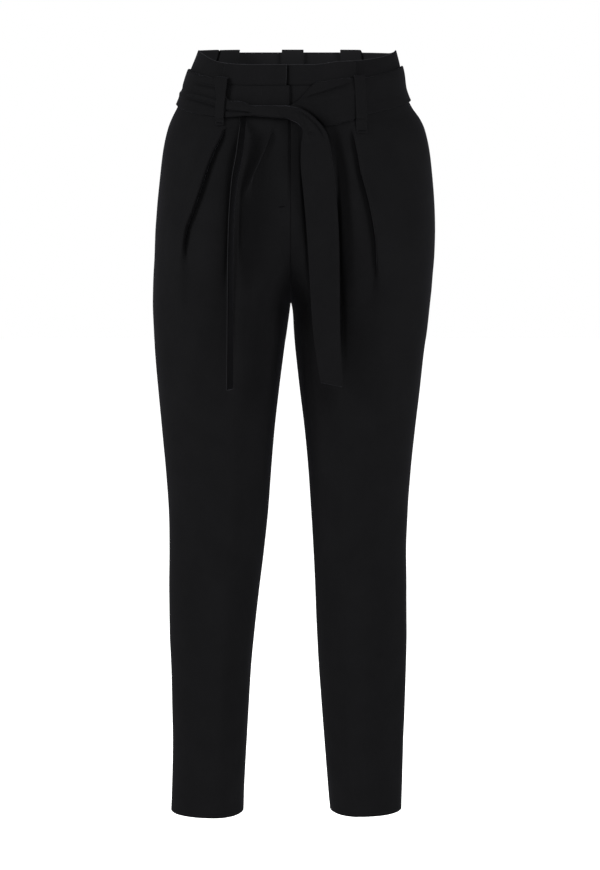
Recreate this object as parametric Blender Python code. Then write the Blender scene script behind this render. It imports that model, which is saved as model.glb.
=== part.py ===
"""Paperbag waist trousers, standing open and hollow as they are worn.

Millimetres are used throughout and turned to metres as each mesh is made. The origin is the middle of the waist,
Z is up and the fronts face -Y. "right" and "left" are the wearer's: right is -X.
"""

import math
from collections import namedtuple
from functools import lru_cache

import bmesh
import bpy
import numpy as np

METRES = 0.001

# Driving sizes.
CLOTH = 2.0  # wall of a leg panel, a waistband or a frill
LOOP_CLOTH = 1.8
LOOP_SEAT = 0.6  # the inner face of a loop's sewn end, off the cloth
LOOP_HOOK = 2.2  # and where it is sewn on above the sash, clear of the frill's folds
LOOP_ROUND = 0.7  # how far the bend over the sash's top edge is rounded off
LOOP_CLEAR = 0.8  # between the sash and a loop over it
LOOP_BEND = 7.0  # height in which a loop comes back to the cloth below the sash
LOOP_FLAT = 6.0  # how far inside the sash's edges a loop begins to lie flat
BELT_CLOTH = 2.4  # a sash is two layers
SEAM_GAP = 0.3
FRILL_TOP = 46.0  # heights as measured at the side seams
BAND_TOP = 20.5
BAND_BOTTOM = -10.0
HEM = {"right": -948.0, "left": -946.0}
FRONT_DROP = 18.0  # the waist dips in front and rises behind
BACK_RISE = 5.0
DROP_GONE = -200.0  # the dip has faded at this height
DROP_FULL = -40.0
PLEAT_RETURN = 3.6  # width of the step where a pleat turns under
CURVE_STEPS = 40
SLOPE_STEP = 1.5  # height over which the slope of the cloth is taken
SHARE_STEP = 0.01  # part of the way across over which it is taken sideways
SHARP_ANGLE = 40.0  # degrees: sharper edges than this are drawn as edges
HALVINGS = 30

# One row for each level section of half the garment. outer and inner are the distances of the side seam and of the
# inside leg from the middle: above the crotch the legs run into each other and inner is negative, more so the
# flatter the body is across its middle. The two drifts are how far each is pushed to the wearer's left, front and
# back are the depths of the fullest points, and inseam is the depth of the inside leg seam.
Section = namedtuple("Section", "z outer inner outer_drift inner_drift front back inseam")
SECTIONS = (
    Section(52, 127.5, -400, 8.2, 0, -89, 97, 12),
    Section(46, 129.4, -400, 8.0, 0, -90, 97, 12),
    Section(22, 137.0, -400, 6.0, 0, -93.5, 97, 12),
    Section(0, 141.8, -400, 4.3, 0, -96, 98, 12),
    Section(-22, 151.3, -400, 4.8, 0, -99, 101, 12),
    Section(-39, 161.5, -400, 6.5, 0, -102, 105, 12),
    Section(-52, 166.8, -400, 7.0, 0, -104.5, 109, 12),
    Section(-78, 172.7, -390, 7.1, 0, -108, 118, 12),
    Section(-104, 176.0, -370, 7.0, 0, -111, 127, 12),
    Section(-155, 180.4, -290, 6.6, 0, -115, 139, 12),
    Section(-190, 181.7, -170, 5.6, 0, -116, 142, 12),
    Section(-215, 181.8, -86, 4.6, 0, -115, 140.5, 12),
    Section(-240, 181.6, -32, 2.8, 0, -113, 137, 12),
    Section(-260, 181.2, -9, 1.7, 0, -111, 132, 12),
    Section(-277, 180.5, 0.2, 0.6, 0, -109, 127.8, 12),
    Section(-285, 180.1, 1.7, 0.2, 0.3, -108, 126, 12.5),
    Section(-312, 178.2, 4.5, -0.8, -0.7, -105, 119, 13),
    Section(-338, 175.8, 7.3, -1.9, -1.6, -102, 113, 13),
    Section(-390, 171.0, 13.5, -2.6, -2.0, -97, 103, 11),
    Section(-443, 165.6, 19.7, -3.2, -1.8, -90, 96, 9),
    Section(-495, 160.6, 24.3, -3.5, -1.6, -83, 89, 8),
    Section(-548, 157.0, 28.0, -3.5, -1.8, -75, 82, 6),
    Section(-601, 155.8, 32.4, -4.2, -3.0, -67, 75, 5),
    Section(-654, 156.5, 36.9, -4.2, -5.0, -61, 71, 5),
    Section(-708, 156.5, 41.0, -3.8, -7.0, -58, 68, 5),
    Section(-761, 155.1, 44.9, -3.2, -8.0, -55, 65, 5),
    Section(-815, 153.7, 48.5, -3.4, -7.7, -54, 63, 4),
    Section(-868, 152.6, 52.1, -4.2, -7.2, -53, 60, 3),
    Section(-922, 152.7, 55.6, -5.6, -6.5, -53, 57, 2),
    Section(-948, 153.0, 57.2, -6.4, -5.6, -53, 55, 1),
)
MIDDLE_CLEAR = 0.2  # half the gap between the right and left pieces at the middle
CROTCH = -277.0
FULLEST = 0.38  # where the fullest point lies between the inside of a leg and its side seam
SIDE_DEPTH = 0.35  # depth of the side seam, as a part of the front and back depths added together
SIDE_ROUNDNESS = 0.58  # how full the curve is between the side seam and the fullest point
DIP_SOFTNESS = 0.2  # rounds the dip of the waist where front and back meet

# Each pleat's fold is an edge that runs down a front: where it lies across the front, from 0 at the side seam to 1
# at the centre, and how far the cloth on its outer side stands out, both by height.
Pleat = namedtuple("Pleat", "line rise")
OUTER_RISE = ((-32, 0.6), (-57, 4.5), (-129, 6.0), (-186, 6.0), (-230, 4.0), (-275, 1.5), (-320, 0.0))
MIDDLE_RISE = ((-32, 0.6), (-57, 4.2), (-141, 5.0), (-220, 3.0), (-280, 0.8), (-320, 0.0))
INNER_RISE = ((-32, 0.6), (-54, 3.6), (-80, 4.0), (-107, 2.8), (-145, 0.0))
PLEATS = {
    "right": (
        Pleat(((-32, 0.468), (-50, 0.443), (-64, 0.416), (-95, 0.375), (-131, 0.333), (-156, 0.298), (-178, 0.264),
               (-204, 0.252), (-260, 0.250)), OUTER_RISE),
        Pleat(((-32, 0.592), (-57, 0.576), (-73, 0.558), (-97, 0.551), (-260, 0.553)), MIDDLE_RISE),
        Pleat(((-32, 0.862), (-48, 0.828), (-71, 0.782), (-94, 0.733), (-123, 0.694)), INNER_RISE),
    ),
    "left": (
        Pleat(((-32, 0.540), (-48, 0.535), (-86, 0.522), (-120, 0.491), (-144, 0.470), (-165, 0.453), (-199, 0.429),
               (-260, 0.412)), OUTER_RISE),
        Pleat(((-32, 0.665), (-57, 0.650), (-73, 0.633), (-97, 0.620), (-260, 0.600)), MIDDLE_RISE),
        Pleat(((-32, 0.890), (-48, 0.860), (-71, 0.815), (-94, 0.768), (-123, 0.728)), INNER_RISE),
    ),
}
PLEAT_RAMP = 62.0  # how wide the outer pleat's soft roll is
SPANS = (8, 1, 3, 1, 3, 1, 4)  # columns from the side seam, between the fold and return of each pleat, to the centre
PANEL_ROWS = (-17, -25, -33, -42, -52, -64, -78, -95, -115, -135, -155, -175, -195, -212, -228, -242, -254, -264,
              -271, -275, CROTCH, -284, -296, -312, -338, -370, -410, -460, -510, -560, -610, -660, -710, -760, -815,
              -870, -915)
BACK_COLUMNS = 12

# The waistband and the frill go round the waist by turns of the ring: 0 centre front, 1 left side seam, 2 centre
# back, 3 right side seam, 4 centre front again.
OVERLAP = 2.4  # the right front lies this far outside the left front at the centre
LAP_FROM, LAP_TO = 46.0, 27.0  # distance from the middle over which the right front rises to it
UNDERLAP = 22.0  # the left front ends this far beyond the middle, under the right
BAND_EDGE = 2.5  # the right waistband and frill end this far short of the middle
FRILL_EDGE = 6.4
FRILL_FOLD = {"right": 0.340, "left": 0.430}  # the fold in each front of the frill, as the pleats are placed
FRILL_PLATE = (0.3, 4.0)  # how far the frill stands out between its folds, at its foot and at its top
BACK_PLEATS = (-89.0, 1.8, 82.5)  # middles of the three box pleats behind
BACK_PLEAT_WIDTH = 27.0
BACK_PLEAT_DEPTH = 3.4
BACK_PLEAT_RISE = 3.5
# The frill also stands up at the side seams: by how much, and between which shares of the front it falls again.
Corner = namedtuple("Corner", "rise near far")
CORNERS = {"right": Corner(4.0, 0.20, 0.50), "left": Corner(4.0, 0.68, 0.86)}
CORNER_BEHIND = 0.25  # over how much of the back it falls behind the left side seam

# The sash by its place round the waist: at each stop its top and bottom edge, how far its inner face lies off the
# cloth, and its thickness. x is given in front of the side seams, and turns of the ring elsewhere.
BELT_TOP, BELT_BOTTOM = 26.5, -19.8
SIDE_LIFT = (4.5, 6.0)  # how much higher its top and bottom edges ride over the left hip bone
LIFT_FROM, LIFT_TO = 0.85, 1.45  # the turns between which they come down again
BELT_OFF = 1.3
BELT_COLUMNS = 22  # in each half, from the hip bone to the centre back
BELT_CROWN = 0.5  # how much fuller the sash is along its middle
Stop = namedtuple("Stop", "x top bottom off thick")
BELT_LEFT_FRONT = (
    Stop(-54.5, -8.0, -15.0, 2.8, 2.2),
    Stop(-30, -8.0, -17.0, 2.8, 2.2),
    Stop(-4, -6.0, -19.0, 2.8, 2.2),
    Stop(8, 0.0, -24.0, 2.8, 2.4),
    Stop(20, 12.0, -29.0, 2.2, 2.4),
    Stop(32, 23.5, -31.5, 2.0, 2.4),
    Stop(44, 25.4, -30.5, 2.0, BELT_CLOTH),
    Stop(62, 28.2, -26.0, 2.0, BELT_CLOTH),
    Stop(74, 29.0, -22.8, 1.9, 2.2),
    Stop(82, 29.0, -20.2, 1.9, 2.2),
    Stop(89, 28.5, -18.2, 1.5, 2.3),
    Stop(99, 28.2, -16.6, BELT_OFF, BELT_CLOTH),
    Stop(110, 29.6, -15.2, BELT_OFF, BELT_CLOTH),
    Stop(125, BELT_TOP + SIDE_LIFT[0], BELT_BOTTOM + SIDE_LIFT[1], BELT_OFF, BELT_CLOTH),
)
BELT_RIGHT_FRONT = (
    Stop(-100, BELT_TOP, BELT_BOTTOM, BELT_OFF, BELT_CLOTH),
    Stop(-92, 26.0, -20.0, BELT_OFF, BELT_CLOTH),
    Stop(-88.5, 22.5, -20.3, BELT_OFF, BELT_CLOTH),
    Stop(-84.5, 12.0, -20.5, BELT_OFF, BELT_CLOTH),
    Stop(-80, 3.0, -20.5, BELT_OFF, BELT_CLOTH),
    Stop(-76, 0.8, -20.2, 2.0, 2.5),
    Stop(-70, 0.0, -19.4, 3.8, 3.0),
    Stop(-62, -0.4, -18.4, 5.2, 3.4),
    Stop(-53, -3.4, -17.6, 5.6, 3.4),
    Stop(-47, -5.2, -17.6, 5.6, 3.4),
    Stop(-30, -5.4, -19.2, 5.6, 3.4),
    Stop(-13, -5.5, -20.8, 5.6, 3.4),
)

# The loops, by their middle at their top and at their foot, their width and the heights of their ends.
Loop = namedtuple("Loop", "name face top_x foot_x width over foot")
LOOPS = (
    Loop("belt_loop_front_right", "front", -84.0, -89.0, 10.0, BELT_TOP, -30.5),
    Loop("belt_loop_front_left", "front", 85.0, 89.0, 12.0, 29.2, -40.0),
    Loop("belt_loop_back_right", "back", -89.0, -92.0, 12.0, BELT_TOP, -33.0),
    Loop("belt_loop_back_centre", "back", 1.8, 1.8, 12.0, BELT_TOP, -33.0),
    Loop("belt_loop_back_left", "back", 82.5, 86.0, 12.0, BELT_TOP, -33.0),
)

# The knot and the hanging ends, by the middle of the ribbon, its width, its thickness and how far it is turned
# about its own length, in degrees.
RIBBON_CROWN = 0.35  # how much fuller a ribbon is along its middle, as a part of its thickness
END_SLANT = 6.0  # how much lower one corner of the wide end hangs than the other
Ribbon = namedtuple("Ribbon", "x y z width thick roll")
KNOT = (
    Ribbon(-12.5, -105.2, -31.1, 15.2, 3.9, 0),
    Ribbon(-3, -107.0, -31.8, 15.5, 5.0, 0),
    Ribbon(6, -109.0, -34.4, 17.0, 6.0, 0),
    Ribbon(15, -110.8, -39.0, 18.0, 6.0, 0),
    Ribbon(23, -112.4, -46.0, 20.5, 5.6, 0),
    Ribbon(28, -113.8, -55.0, 27.0, 4.8, 0),
    Ribbon(30.6, -115.2, -65.0, 33.0, 4.0, 0),
    Ribbon(31.0, -116.0, -70.0, 35.0, 3.6, 0),
)
WIDE_END = (
    Ribbon(31.2, -116.2, -70.6, 35.5, 3.4, 0),
    Ribbon(31.6, -117.4, -80.0, 37.5, 2.8, -2),
    Ribbon(33.0, -119.8, -100.0, 40.5, 2.4, -6),
    Ribbon(37.0, -123.0, -140.0, 41.5, 2.4, -12),
    Ribbon(40.6, -125.5, -190.0, 42.0, 2.4, -20),
    Ribbon(42.6, -127.0, -240.0, 42.0, 2.4, -28),
    Ribbon(45.0, -127.5, -300.0, 42.0, 2.4, -36),
    Ribbon(49.0, -127.0, -345.0, 41.0, 2.4, -42),
    Ribbon(52.0, -126.5, -373.0, 39.0, 2.4, -44),
)
NARROW_END = (
    Ribbon(-60.0, -98.7, -24.0, 10.0, 1.7, 0),
    Ribbon(-59.8, -100.6, -37.5, 10.5, 1.7, 2),
    Ribbon(-59.0, -105.4, -46.0, 14.0, 2.2, 16),
    Ribbon(-60.0, -115.0, -60.0, 18.0, 2.6, 42),
    Ribbon(-64.4, -121.4, -85.0, 21.0, 2.8, 58),
    Ribbon(-70.5, -126.2, -120.0, 22.0, 3.0, 67),
    Ribbon(-74.5, -128.8, -170.0, 22.5, 3.0, 70),
    Ribbon(-76.0, -129.6, -220.0, 23.0, 3.0, 70),
    Ribbon(-76.8, -129.6, -280.0, 23.0, 3.0, 68),
    Ribbon(-77.0, -128.8, -335.0, 23.0, 3.0, 66),
    Ribbon(-77.0, -128.2, -379.0, 21.0, 3.0, 64),
)


def smooth(t):
    t = min(1.0, max(0.0, t))
    return t * t * (3.0 - 2.0 * t)


def curve_through(knots, values, at):
    """A smooth curve through the knots that never overshoots them, read at one place; knots rise."""
    if at <= knots[0]:
        return values[0]
    if at >= knots[-1]:
        return values[-1]
    last = len(knots) - 1
    rise = [(values[i + 1] - values[i]) / (knots[i + 1] - knots[i]) for i in range(last)]
    slope = [rise[0]]
    for i in range(1, last):
        both = rise[i - 1] * rise[i]
        slope.append(0.0 if both <= 0 else 2.0 * both / (rise[i - 1] + rise[i]))
    slope.append(rise[-1])
    i = max(k for k in range(last) if knots[k] <= at)
    span = knots[i + 1] - knots[i]
    t = (at - knots[i]) / span
    near = (1 + 2 * t) * (1 - t) ** 2 * values[i] + t * (1 - t) ** 2 * span * slope[i]
    far = t * t * (3 - 2 * t) * values[i + 1] - t * t * (1 - t) * span * slope[i + 1]
    return near + far


def by_height(table, z):
    """A (height, value) table, highest first, read at z."""
    rows = table[::-1]
    return curve_through([row[0] for row in rows], [row[1] for row in rows], z)


@lru_cache(maxsize=None)
def section_at(z):
    rows = SECTIONS[::-1]
    heights = [row.z for row in rows]
    columns = [curve_through(heights, [row[k] for row in rows], z) for k in range(1, len(Section._fields))]
    return Section(z, *columns)


def bezier(a, b, c, d, steps):
    t = np.linspace(0.0, 1.0, steps + 1)[:, None]
    return (1 - t) ** 3 * a + 3 * (1 - t) ** 2 * t * b + 3 * (1 - t) * t * t * c + t ** 3 * d


@lru_cache(maxsize=None)
def half_section(face, z):
    """One face's curve at a height, from the side seam to the centre seam: its points, the directions that face
    outwards, the length up to each point, and how far each lies from the side seam's depth, 0, to the fullest, 1."""
    sec = section_at(z)
    deep = sec.front if face == "front" else sec.back
    away = -1.0 if face == "front" else 1.0
    inside = max(sec.inner, MIDDLE_CLEAR)
    side = np.array([sec.outer, SIDE_DEPTH * (sec.front + sec.back)])
    full = np.array([inside + FULLEST * (sec.outer - inside), deep])
    first = bezier(side, side + [0, SIDE_ROUNDNESS * (deep - side[1])],
                   full + [SIDE_ROUNDNESS * (side[0] - full[0]), 0], full, CURVE_STEPS)
    swing = math.asin((full[0] - inside) / (full[0] - min(sec.inner, inside)))
    angles = np.linspace(0.0, swing, CURVE_STEPS + 1)
    second = np.stack([full[0] - (full[0] - sec.inner) * np.sin(angles),
                       deep + (sec.inseam - deep) * (1.0 - np.cos(angles))], 1)
    points = np.vstack([first, second[1:]])
    along = np.gradient(points, axis=0)
    along /= np.linalg.norm(along, axis=1)[:, None]
    outward = away * np.stack([along[:, 1], -along[:, 0]], 1)
    length = np.concatenate([[0], np.cumsum(np.linalg.norm(np.diff(points, axis=0), axis=1))])
    depth = (points[:, 1] - side[1]) / (deep - side[1])
    return points, outward, length, depth


def share_at(face, z, across):
    """How far along the curve, from 0 to 1, a place lies that is given across the half: 0 side, 1 centre."""
    points, _, length, _ = half_section(face, z)
    sec = section_at(z)
    target = sec.outer - across * (sec.outer - max(sec.inner, MIDDLE_CLEAR))
    return float(np.interp(-target, -points[:, 0], length)) / length[-1]


def place(side, face, z, share, out=0.0):
    """A point on the garment's outer surface, moved out by a distance."""
    points, outward, length, depth = half_section(face, z)
    sec = section_at(z)
    at = share * length[-1]
    p, y, n_p, n_y, deep = (np.interp(at, length, column) for column in (*points.T, *outward.T, depth))
    inside = max(sec.inner, MIDDLE_CLEAR)
    drift = sec.inner_drift + (sec.outer_drift - sec.inner_drift) * (p - inside) / (sec.outer - inside)
    size = math.hypot(n_p, n_y)
    sign = -1.0 if side == "right" else 1.0
    eased = (math.hypot(deep, DIP_SOFTNESS) - DIP_SOFTNESS) / (math.hypot(1.0, DIP_SOFTNESS) - DIP_SOFTNESS)
    fade = smooth((z - DROP_GONE) / (DROP_FULL - DROP_GONE))
    lift = (-FRONT_DROP if face == "front" else BACK_RISE) * eased * fade
    return np.array([sign * (p + out * n_p / size) + drift, y + out * n_y / size, z + lift])


def facing(side, face, z, share):
    """The direction that the garment's surface faces at a place, its slope up and down included."""
    along = place(side, face, z, min(1.0, share + SHARE_STEP)) - place(side, face, z, max(0.0, share - SHARE_STEP))
    if not SHARE_STEP <= share <= 1.0 - SHARE_STEP:
        n_p, n_y = half_section(face, z)[1][-1 if share > 0.5 else 0]
        away = -1.0 if face == "front" else 1.0
        sign = -1.0 if side == "right" else 1.0
        along = np.array([-sign * away * n_y, away * n_p, 0.0])
    up = place(side, face, z + SLOPE_STEP, share) - place(side, face, z - SLOPE_STEP, share)
    across = np.cross(along, up)
    across /= np.linalg.norm(across)
    out = place(side, face, z, share, 1.0) - place(side, face, z, share)
    return across if across.dot(out) > 0 else -across


def pleat_anchors(side, z):
    """Where each pleat's fold and return lie along the front's curve at a height, side seam and centre included."""
    length = half_section("front", z)[2][-1]
    anchors = [0.0]
    for pleat in PLEATS[side]:
        fold = share_at("front", z, by_height(pleat.line, z))
        anchors += [fold, fold + PLEAT_RETURN / length]
    return anchors + [1.0]


def pleat_out(side, z, share):
    """How far the pleats push a front out, at a place along its curve."""
    anchors = pleat_anchors(side, z)
    length = half_section("front", z)[2][-1]
    starts = [anchors[1] - PLEAT_RAMP / length, anchors[2], anchors[4]]
    for pleat, start, fold, back in zip(PLEATS[side], starts, anchors[1::2], anchors[2::2]):
        if start < share <= fold:
            return by_height(pleat.rise, z) * smooth((share - start) / (fold - start))
        if fold < share < back:
            return by_height(pleat.rise, z) * (back - share) / (back - fold)
    return 0.0


def wall(name, outer, inner, material):
    """A closed wall between two grids of points with the same rows and columns."""
    outer, inner = np.asarray(outer), np.asarray(inner)
    rows, columns = outer.shape[:2]
    bm = bmesh.new()
    sheets = [[[bm.verts.new(point * METRES) for point in row] for row in grid] for grid in (outer, inner)]
    for sheet in sheets:
        for r in range(rows - 1):
            for c in range(columns - 1):
                bm.faces.new((sheet[r][c], sheet[r][c + 1], sheet[r + 1][c + 1], sheet[r + 1][c]))
    rim = [(0, c) for c in range(columns)] + [(r, columns - 1) for r in range(1, rows)]
    rim += [(rows - 1, c) for c in range(columns - 2, -1, -1)] + [(r, 0) for r in range(rows - 2, 0, -1)]
    for (r, c), (next_r, next_c) in zip(rim, rim[1:] + rim[:1]):
        bm.faces.new((sheets[0][r][c], sheets[0][next_r][next_c], sheets[1][next_r][next_c], sheets[1][r][c]))
    bmesh.ops.recalc_face_normals(bm, faces=bm.faces)
    mesh = bpy.data.meshes.new(name)
    bm.to_mesh(mesh)
    bm.free()
    mesh.shade_smooth()
    mesh.set_sharp_from_angle(angle=math.radians(SHARP_ANGLE))
    mesh.materials.append(material)
    thing = bpy.data.objects.new(name, mesh)
    bpy.context.scene.collection.objects.link(thing)
    return thing


def cloth_material(name, colour, roughness):
    material = bpy.data.materials.new(name)
    material.use_nodes = True
    shader = material.node_tree.nodes["Principled BSDF"]
    shader.inputs["Base Color"].default_value = (*colour, 1.0)
    shader.inputs["Roughness"].default_value = roughness
    shader.inputs["Metallic"].default_value = 0.0
    return material


def panel_heights(side):
    return [BAND_BOTTOM - SEAM_GAP / 2, *PANEL_ROWS, HEM[side]]


def trimmed(share, face, z):
    """Keeps a panel's edges clear of its neighbours at the side seam and, between the legs, at the inside seam."""
    length = half_section(face, z)[2][-1]
    clear = SEAM_GAP / 2 / length
    inside = clear if z <= CROTCH else 0.0
    return clear + share * (1.0 - clear - inside)


def leg_panel(name, side, face, material):
    outer, inner = [], []
    for z in panel_heights(side):
        if face == "front":
            anchors = pleat_anchors(side, z)
            shares = [0.0]
            for start, end, count in zip(anchors, anchors[1:], SPANS):
                shares += [start + (end - start) * k / count for k in range(1, count + 1)]
            lifts = [pleat_out(side, z, share) for share in shares]
        else:
            shares = [k / BACK_COLUMNS for k in range(BACK_COLUMNS + 1)]
            lifts = [0.0] * len(shares)
        shares = [trimmed(share, face, z) for share in shares]
        row = [place(side, face, z, share, lift) for share, lift in zip(shares, lifts)]
        outer.append(row)
        inner.append([point - CLOTH * facing(side, face, z, share) for point, share in zip(row, shares)])
    return wall(name, outer, inner, material)


def ring(turn):
    """The side, face and share along the half section of a place on the ring round the waist."""
    turn %= 4.0
    if turn < 1.0:
        return "left", "front", 1.0 - turn
    if turn < 2.0:
        return "left", "back", turn - 1.0
    if turn < 3.0:
        return "right", "back", 3.0 - turn
    return "right", "front", turn - 3.0


def ring_place(turn, z, out):
    side, face, share = ring(turn)
    return place(side, face, z, share, out)


def turn_at(face, x, z=0.0):
    """The place on the ring whose x is given, on the front or on the back."""
    low, high = (-1.0, 1.0) if face == "front" else (1.0, 3.0)
    rising = 1.0 if face == "front" else -1.0
    for _ in range(HALVINGS):
        middle = 0.5 * (low + high)
        if rising * (ring_place(middle, z, 0.0)[0] - x) < 0:
            low = middle
        else:
            high = middle
    return 0.5 * (low + high)


def lap(turn):
    """How far the right front is raised over the left near the middle."""
    middle = abs(ring_place(turn, 0.0, 0.0)[0])
    return OVERLAP * smooth((LAP_FROM - middle) / (LAP_FROM - LAP_TO))


def ring_wall(name, stops, material):
    """A wall round part of the waist. Each stop gives a column: its turn and a list of (height, outside, inside)."""
    outer = [[ring_place(turn, z, out) for z, out, _ in column] for turn, column in stops]
    inner = [[ring_place(turn, z, inside) for z, _, inside in column] for turn, column in stops]
    return wall(name, outer, inner, material)


def spaced(start, end, count):
    return [start + (end - start) * k / count for k in range(count + 1)]


def band_heights():
    return spaced(BAND_BOTTOM + SEAM_GAP / 2, BAND_TOP - SEAM_GAP / 2, 3)


def seam_turns():
    """Half the seam gap, as a turn of the ring at the side seam."""
    return SEAM_GAP / 2 / half_section("front", 0.0)[2][-1]


def waistband(material):
    clear = seam_turns()

    def column(turn, lifted):
        out = lap(turn) if lifted else 0.0
        return turn, [(z, out, out - CLOTH) for z in band_heights()]

    right = spaced(-1.0 + clear, turn_at("front", -LAP_FROM), 8)
    right += spaced(right[-1], turn_at("front", -LAP_TO), 4)[1:]
    right += spaced(right[-1], turn_at("front", -BAND_EDGE), 2)[1:]
    left = spaced(turn_at("front", -UNDERLAP), 1.0 - clear, 14)
    ring_wall("waistband_front_right", [column(turn, True) for turn in right], material)
    ring_wall("waistband_front_left", [column(turn, False) for turn in left], material)
    ring_wall("waistband_back", [column(turn, False) for turn in spaced(1.0 + clear, 3.0 - clear, 24)], material)


def frill_heights(rise=0.0):
    return spaced(BAND_TOP + SEAM_GAP / 2, FRILL_TOP + rise, 3)


def frill_front(name, side, material):
    clear = seam_turns()
    length = half_section("front", BAND_TOP)[2][-1]
    fold = share_at("front", BAND_TOP, FRILL_FOLD[side])
    back = fold + PLEAT_RETURN / length
    if side == "right":
        end = 1.0 + turn_at("front", -FRILL_EDGE)
        shares = spaced(clear, fold, 6) + spaced(back, end, 8)
    else:
        end = 1.0 - turn_at("front", -UNDERLAP)
        shares = spaced(clear, fold, 6) + spaced(back, end, 10)
    stops = []
    for share in shares:
        turn = share - 1.0 if side == "right" else 1.0 - share
        column = []
        corner = CORNERS[side]
        for z in frill_heights(corner.rise * smooth((corner.far - share) / (corner.far - corner.near))):
            up = (z - BAND_TOP) / (FRILL_TOP - BAND_TOP)
            out = FRILL_PLATE[0] + (FRILL_PLATE[1] - FRILL_PLATE[0]) * up if share >= back else 0.0
            out += lap(turn) if side == "right" else 0.0
            column.append((z, out, out - CLOTH))
        stops.append((turn, column))
    return ring_wall(name, stops, material)


def frill_back(material):
    """The back of the frill, folded inwards into three box pleats that stand a little higher than it."""
    clear = seam_turns()
    step = PLEAT_RETURN / half_section("back", BAND_TOP)[2][-1]
    turns = [1.0 + clear]
    depths = [0.0]
    for middle in BACK_PLEATS[::-1]:
        near = turn_at("back", middle + BACK_PLEAT_WIDTH / 2, BAND_TOP)
        far = turn_at("back", middle - BACK_PLEAT_WIDTH / 2, BAND_TOP)
        turns += spaced(turns[-1], near - step, 4)[1:] + [near] + spaced(near, far, 2)[1:] + [far + step]
        depths += [0.0] * 4 + [1.0] * 3 + [0.0]
    turns += spaced(turns[-1], 3.0 - clear, 4)[1:]
    depths += [0.0] * 4
    stops = []
    for turn, depth in zip(turns, depths):
        out = -BACK_PLEAT_DEPTH * depth
        rise = max(BACK_PLEAT_RISE * depth, CORNERS["left"].rise * smooth(1.0 - (turn - 1.0) / CORNER_BEHIND))
        rise = CORNERS["right"].rise if turn > far else rise
        column = [(z, out, out - CLOTH) for z in frill_heights(rise)]
        stops.append((turn, column))
    return ring_wall("frill_back", stops, material)


def belt_column(turn, top, bottom, off, thick):
    column = []
    for k, z in enumerate(spaced(bottom, top, 4)):
        full = BELT_CROWN * math.sin(math.pi * k / 4)
        column.append((z, off + thick + full, off + full))
    return turn, column


def belt_stops(table, between=2):
    """Columns for the stretch of sash whose stops are given, with more set smoothly between them."""
    xs = [stop.x for stop in table]
    places = []
    for start, end in zip(xs, xs[1:]):
        places += spaced(start, end, between)[:-1]
    places.append(xs[-1])
    columns = []
    for x in places:
        values = [curve_through(xs, [stop[k] for stop in table], x) for k in range(1, len(Stop._fields))]
        columns.append(belt_column(turn_at("front", x), *values))
    return columns


def belt_side(turn):
    """A column of the sash round the side and the back."""
    lift = smooth((LIFT_TO - turn) / (LIFT_TO - LIFT_FROM)) if turn > 0 else 0.0
    top, bottom = BELT_TOP + lift * SIDE_LIFT[0], BELT_BOTTOM + lift * SIDE_LIFT[1]
    return belt_column(turn, top, bottom, BELT_OFF, BELT_CLOTH)


def belt_wrap(material):
    clear = seam_turns()
    left = belt_stops(BELT_LEFT_FRONT)
    left += [belt_side(turn) for turn in spaced(left[-1][0], 2.0 - clear, BELT_COLUMNS)[1:]]
    right = [belt_side(turn) for turn in spaced(-2.0 + clear, turn_at("front", -100.0), BELT_COLUMNS)[:-1]]
    right += belt_stops(BELT_RIGHT_FRONT)
    ring_wall("belt_left", left, material)
    ring_wall("belt_right", right, material)


def belt_loops(material):
    """Each loop is sewn on above the sash, hooks over its top edge, stands out over it and is sewn down below."""
    over = BELT_OFF + BELT_CLOTH + BELT_CROWN + LOOP_CLEAR
    for loop in LOOPS:
        top = loop.over + LOOP_CLEAR
        profile = [(top + LOOP_CLOTH, LOOP_HOOK, top, LOOP_HOOK)]
        profile += [(top + LOOP_CLOTH - LOOP_ROUND, over + LOOP_CLOTH - LOOP_ROUND, top, over)]
        heights = [loop.over - LOOP_FLAT, 0.0, BELT_BOTTOM + LOOP_FLAT, BELT_BOTTOM - LOOP_CLEAR]
        heights += spaced(BELT_BOTTOM - LOOP_BEND / 2, loop.foot, 4)
        for z in heights:
            off = over * smooth((z - BELT_BOTTOM + LOOP_BEND) / LOOP_BEND)
            profile.append((z, off + LOOP_CLOTH, z, off))
        outer, inner = [], []
        for outer_z, outer_off, inner_z, inner_off in profile:
            x = loop.foot_x + (loop.top_x - loop.foot_x) * (inner_z - loop.foot) / (top - loop.foot)
            outer_row, inner_row = [], []
            for k in (-0.5, 0.0, 0.5):
                turn = turn_at(loop.face, x + k * loop.width, inner_z)
                side, face, share = ring(turn)
                cloth = pleat_out(side, inner_z, share) if face == "front" and inner_z < BAND_BOTTOM else 0.0
                raised = max(cloth + LOOP_SEAT - inner_off, 0.0)
                outer_row.append(place(side, face, outer_z, share, outer_off + raised))
                inner_row.append(place(side, face, inner_z, share, inner_off + raised))
            outer.append(outer_row)
            inner.append(inner_row)
        wall(loop.name, outer, inner, material)


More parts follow.
